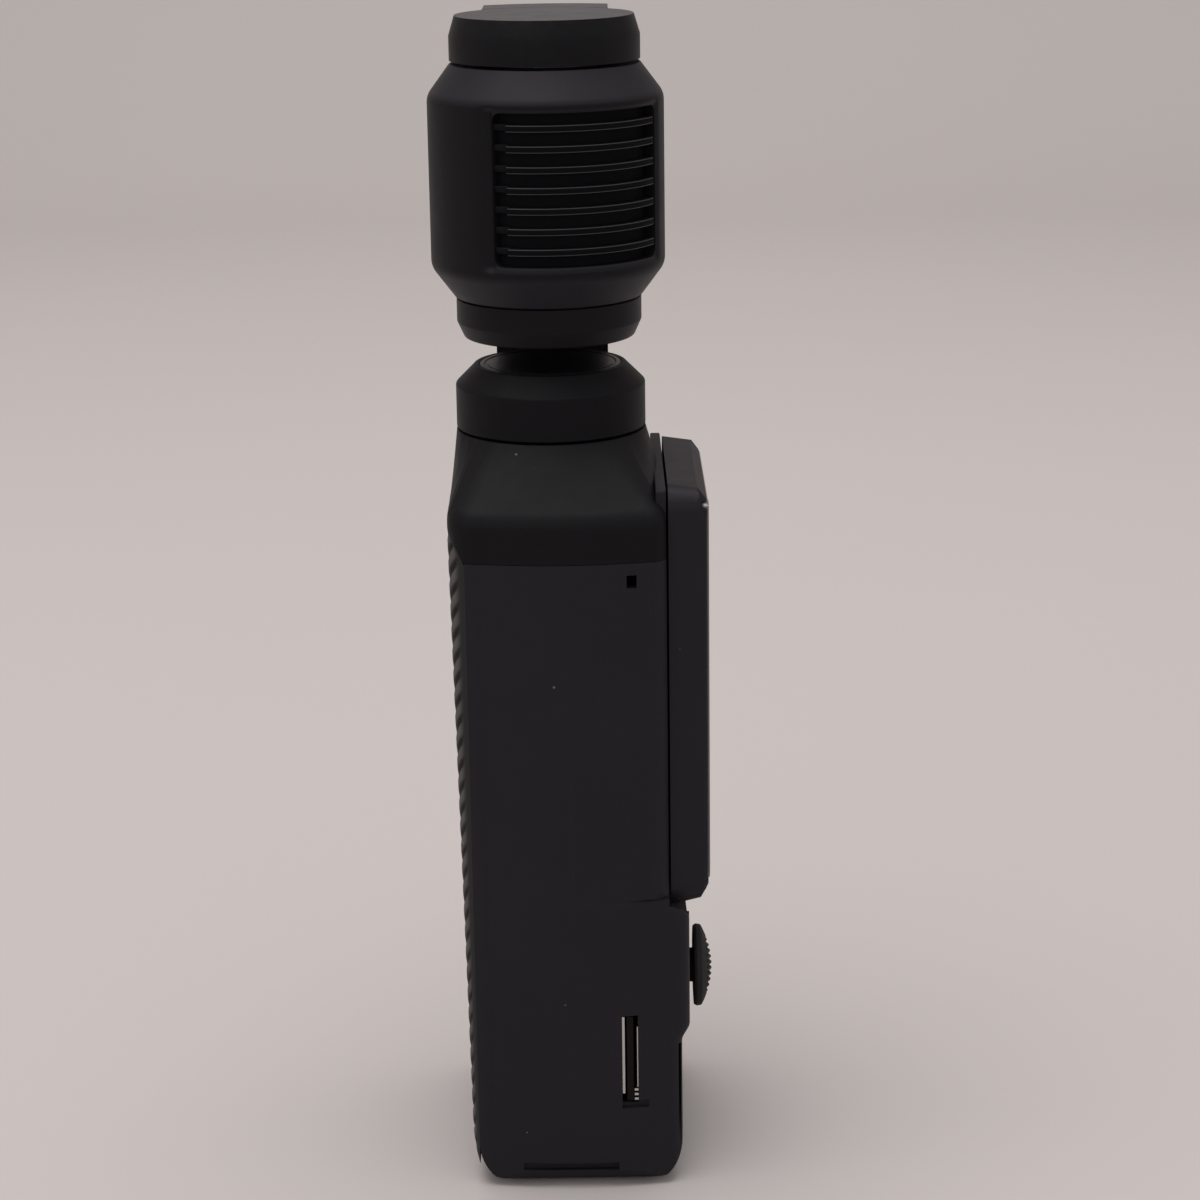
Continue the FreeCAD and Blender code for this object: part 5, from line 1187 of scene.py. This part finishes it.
class BuildInside(bpy.types.Operator):
    """Finishes of the motors and of what the handle and the head hold inside"""
    bl_idname = "gimbal_camera.inside"
    bl_label = "Inner pieces"

    def execute(self, context):
        finishes = context.scene.finishes
        steel = bright_metal("shaft_steel", finishes.steel, 0.25)
        alloy = cast_metal("motor_alloy", finishes.alloy)
        laminations = bright_metal("lamination_steel", varied(finishes.steel, 0.5), 0.4, (1, 1, 40))
        copper = windings("copper_wire", finishes.copper)
        magnets = magnet_ring("magnet_nickel")
        for motor in ("pan", "roll", "tilt"):
            finished(f"{motor}_motor_base", alloy)
            finished(f"{motor}_bearings", steel)
            finished(f"{motor}_stator", laminations)
            finished(f"{motor}_coils", copper)
            finished(f"{motor}_magnets", magnets)
            finished(f"{motor}_shaft", steel)
        board = circuit_board("board_green", finishes.board)
        finished("main_board", board)
        finished("sensor_board", board)
        finished("image_sensor", polished_glass("sensor_glass", (0.02, 0.012, 0.03)))
        finished("heat_block", alloy)
        finished("heat_spreader", bright_metal("spreader_copper", finishes.copper, 0.35))
        finished("battery", wrapped_cell("cell_wrap", (0.03, 0.032, 0.04)))
        finished("inner_frame", cast_metal("frame_alloy", varied(finishes.alloy, 0.5)))
        finished("board_screws", bright_metal("screw_steel", finishes.steel, 0.3))
        finished("speaker", cast_metal("speaker_can", finishes.alloy))
        return {"FINISHED"}


# Studio

def lamp(name, place, target, area, power, tint=(1, 1, 1)):
    """A soft rectangular light that faces a point."""
    data = bpy.data.lights.new(name, "AREA")
    data.shape = "RECTANGLE"
    data.size, data.size_y = area
    data.energy, data.color = power, tint
    made = bpy.data.objects.new(name, data)
    made.location = place
    made.rotation_euler = (Vector(target) - Vector(place)).to_track_quat("-Z", "Y").to_euler()
    bpy.context.scene.collection.objects.link(made)
    return made


def paper(name, tint):
    """Seamless paper, a little uneven in tone."""
    finish = Finish(name, Specular_IOR_Level=0.15)
    cloud = finish.noise(2.2, 3)
    finish.set("Base Color", finish.mix(cloud, varied(tint, 0.96), varied(tint, 1.03)))
    finish.set("Roughness", 0.85 + 0.05 * cloud)
    finish.bump(finish.noise(900, 2), 1e-5)
    return finish.material


def sweep(width, front, back, rise, bend):
    """Floor and backdrop as one bent sheet of paper."""
    mesh = bmesh.new()
    line = [(front, 0.0), (back - bend, 0.0)]
    line += [(back - bend + bend * math.sin(math.radians(turn)), bend - bend * math.cos(math.radians(turn)))
             for turn in range(6, 90, 6)]
    line += [(back, bend), (back, rise)]
    points = [mesh.verts.new((-width / 2, deep, tall)) for deep, tall in line]
    edges = [mesh.edges.new(pair) for pair in zip(points, points[1:])]
    extruded = bmesh.ops.extrude_edge_only(mesh, edges=edges)
    moving = [item for item in extruded["geom"] if isinstance(item, bmesh.types.BMVert)]
    bmesh.ops.translate(mesh, verts=moving, vec=(width, 0, 0))
    bmesh.ops.recalc_face_normals(mesh, faces=mesh.faces)
    return mesh


class BuildStage(bpy.types.Operator):
    """Paper floor and backdrop, soft lights, and the camera"""
    bl_idname = "gimbal_camera.stage"
    bl_label = "Stage"

    def execute(self, context):
        scene, finishes, stage = context.scene, context.scene.finishes, measures(context.scene.stage)
        mesh = sweep(width=6.0, front=-2.0, back=1.15, rise=3.0, bend=0.35)
        for face in mesh.faces:
            face.smooth = True
        ground = loose("paper_sweep", mesh)
        ground.data.materials.append(paper("floor_paper", finishes.floor))
        middle, watts = (0, 0, 0.07), 9.0
        lamp("top_light", (-0.1, 0.05, 1.1), middle, (1.1, 0.9), watts * stage.top_light, (1.0, 0.985, 0.97))
        lamp("front_light", (-0.5, -1.0, 0.75), middle, (0.9, 0.7), watts * stage.front_light)
        world = bpy.data.worlds.new("room")
        world.use_nodes = True
        background = world.node_tree.nodes["Background"]
        background.inputs["Color"].default_value = (1.0, 0.985, 0.975, 1)
        background.inputs["Strength"].default_value = stage.room
        scene.world = world
        scene.view_settings.view_transform = "Standard"
        data = bpy.data.cameras.new("camera")
        data.sensor_width, data.lens, data.clip_start, data.clip_end = 36, stage.lens, 0.01, 20
        camera = bpy.data.objects.new("camera", data)
        camera.location = (stage.across * MM, -stage.distance * MM, stage.height * MM)
        level = Matrix.Rotation(math.radians(90) - stage.pitch, 4, "X")
        camera.rotation_euler = (level @ Matrix.Rotation(-stage.roll, 4, "Z")).to_euler()
        scene.collection.objects.link(camera)
        scene.camera = camera
        return {"FINISHED"}


class GimbalPanel(bpy.types.Panel):
    """Lists the pieces in the 3D view's sidebar"""
    bl_idname = "VIEW3D_PT_gimbal_camera"
    bl_label = "Gimbal camera"
    bl_space_type = "VIEW_3D"
    bl_region_type = "UI"
    bl_category = "Gimbal camera"

    def draw(self, context):
        for operator in OPERATORS:
            self.layout.operator(operator.bl_idname)
        for name in GROUPS:
            group = getattr(context.scene, name)
            column = self.layout.column(heading=group.bl_rna.name)
            for key in group.__annotations__:
                column.prop(group, key)


GROUPS = {"head_sizes": HeadSizes, "handle_sizes": HandleSizes, "finishes": Finishes, "stage": StageSettings}
OPERATORS = (BuildBarrel, BuildCaps, BuildLens, BuildPanRing, BuildHandle, BuildGrip, BuildScreen,
             BuildControls, BuildSlots, BuildInside, BuildStage)


def register():
    for kind in (*GROUPS.values(), *OPERATORS, GimbalPanel):
        bpy.utils.register_class(kind)
    for name, kind in GROUPS.items():
        setattr(bpy.types.Scene, name, PointerProperty(type=kind))


def unregister():
    for name in GROUPS:
        delattr(bpy.types.Scene, name)
    for kind in (GimbalPanel, *reversed(OPERATORS), *reversed(GROUPS.values())):
        bpy.utils.unregister_class(kind)


def main():
    """Builds all the pieces and the stage."""
    register()
    for operator in OPERATORS:
        group, name = operator.bl_idname.split(".")
        getattr(getattr(bpy.ops, group), name)()
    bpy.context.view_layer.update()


if __name__ == "__main__":
    main()
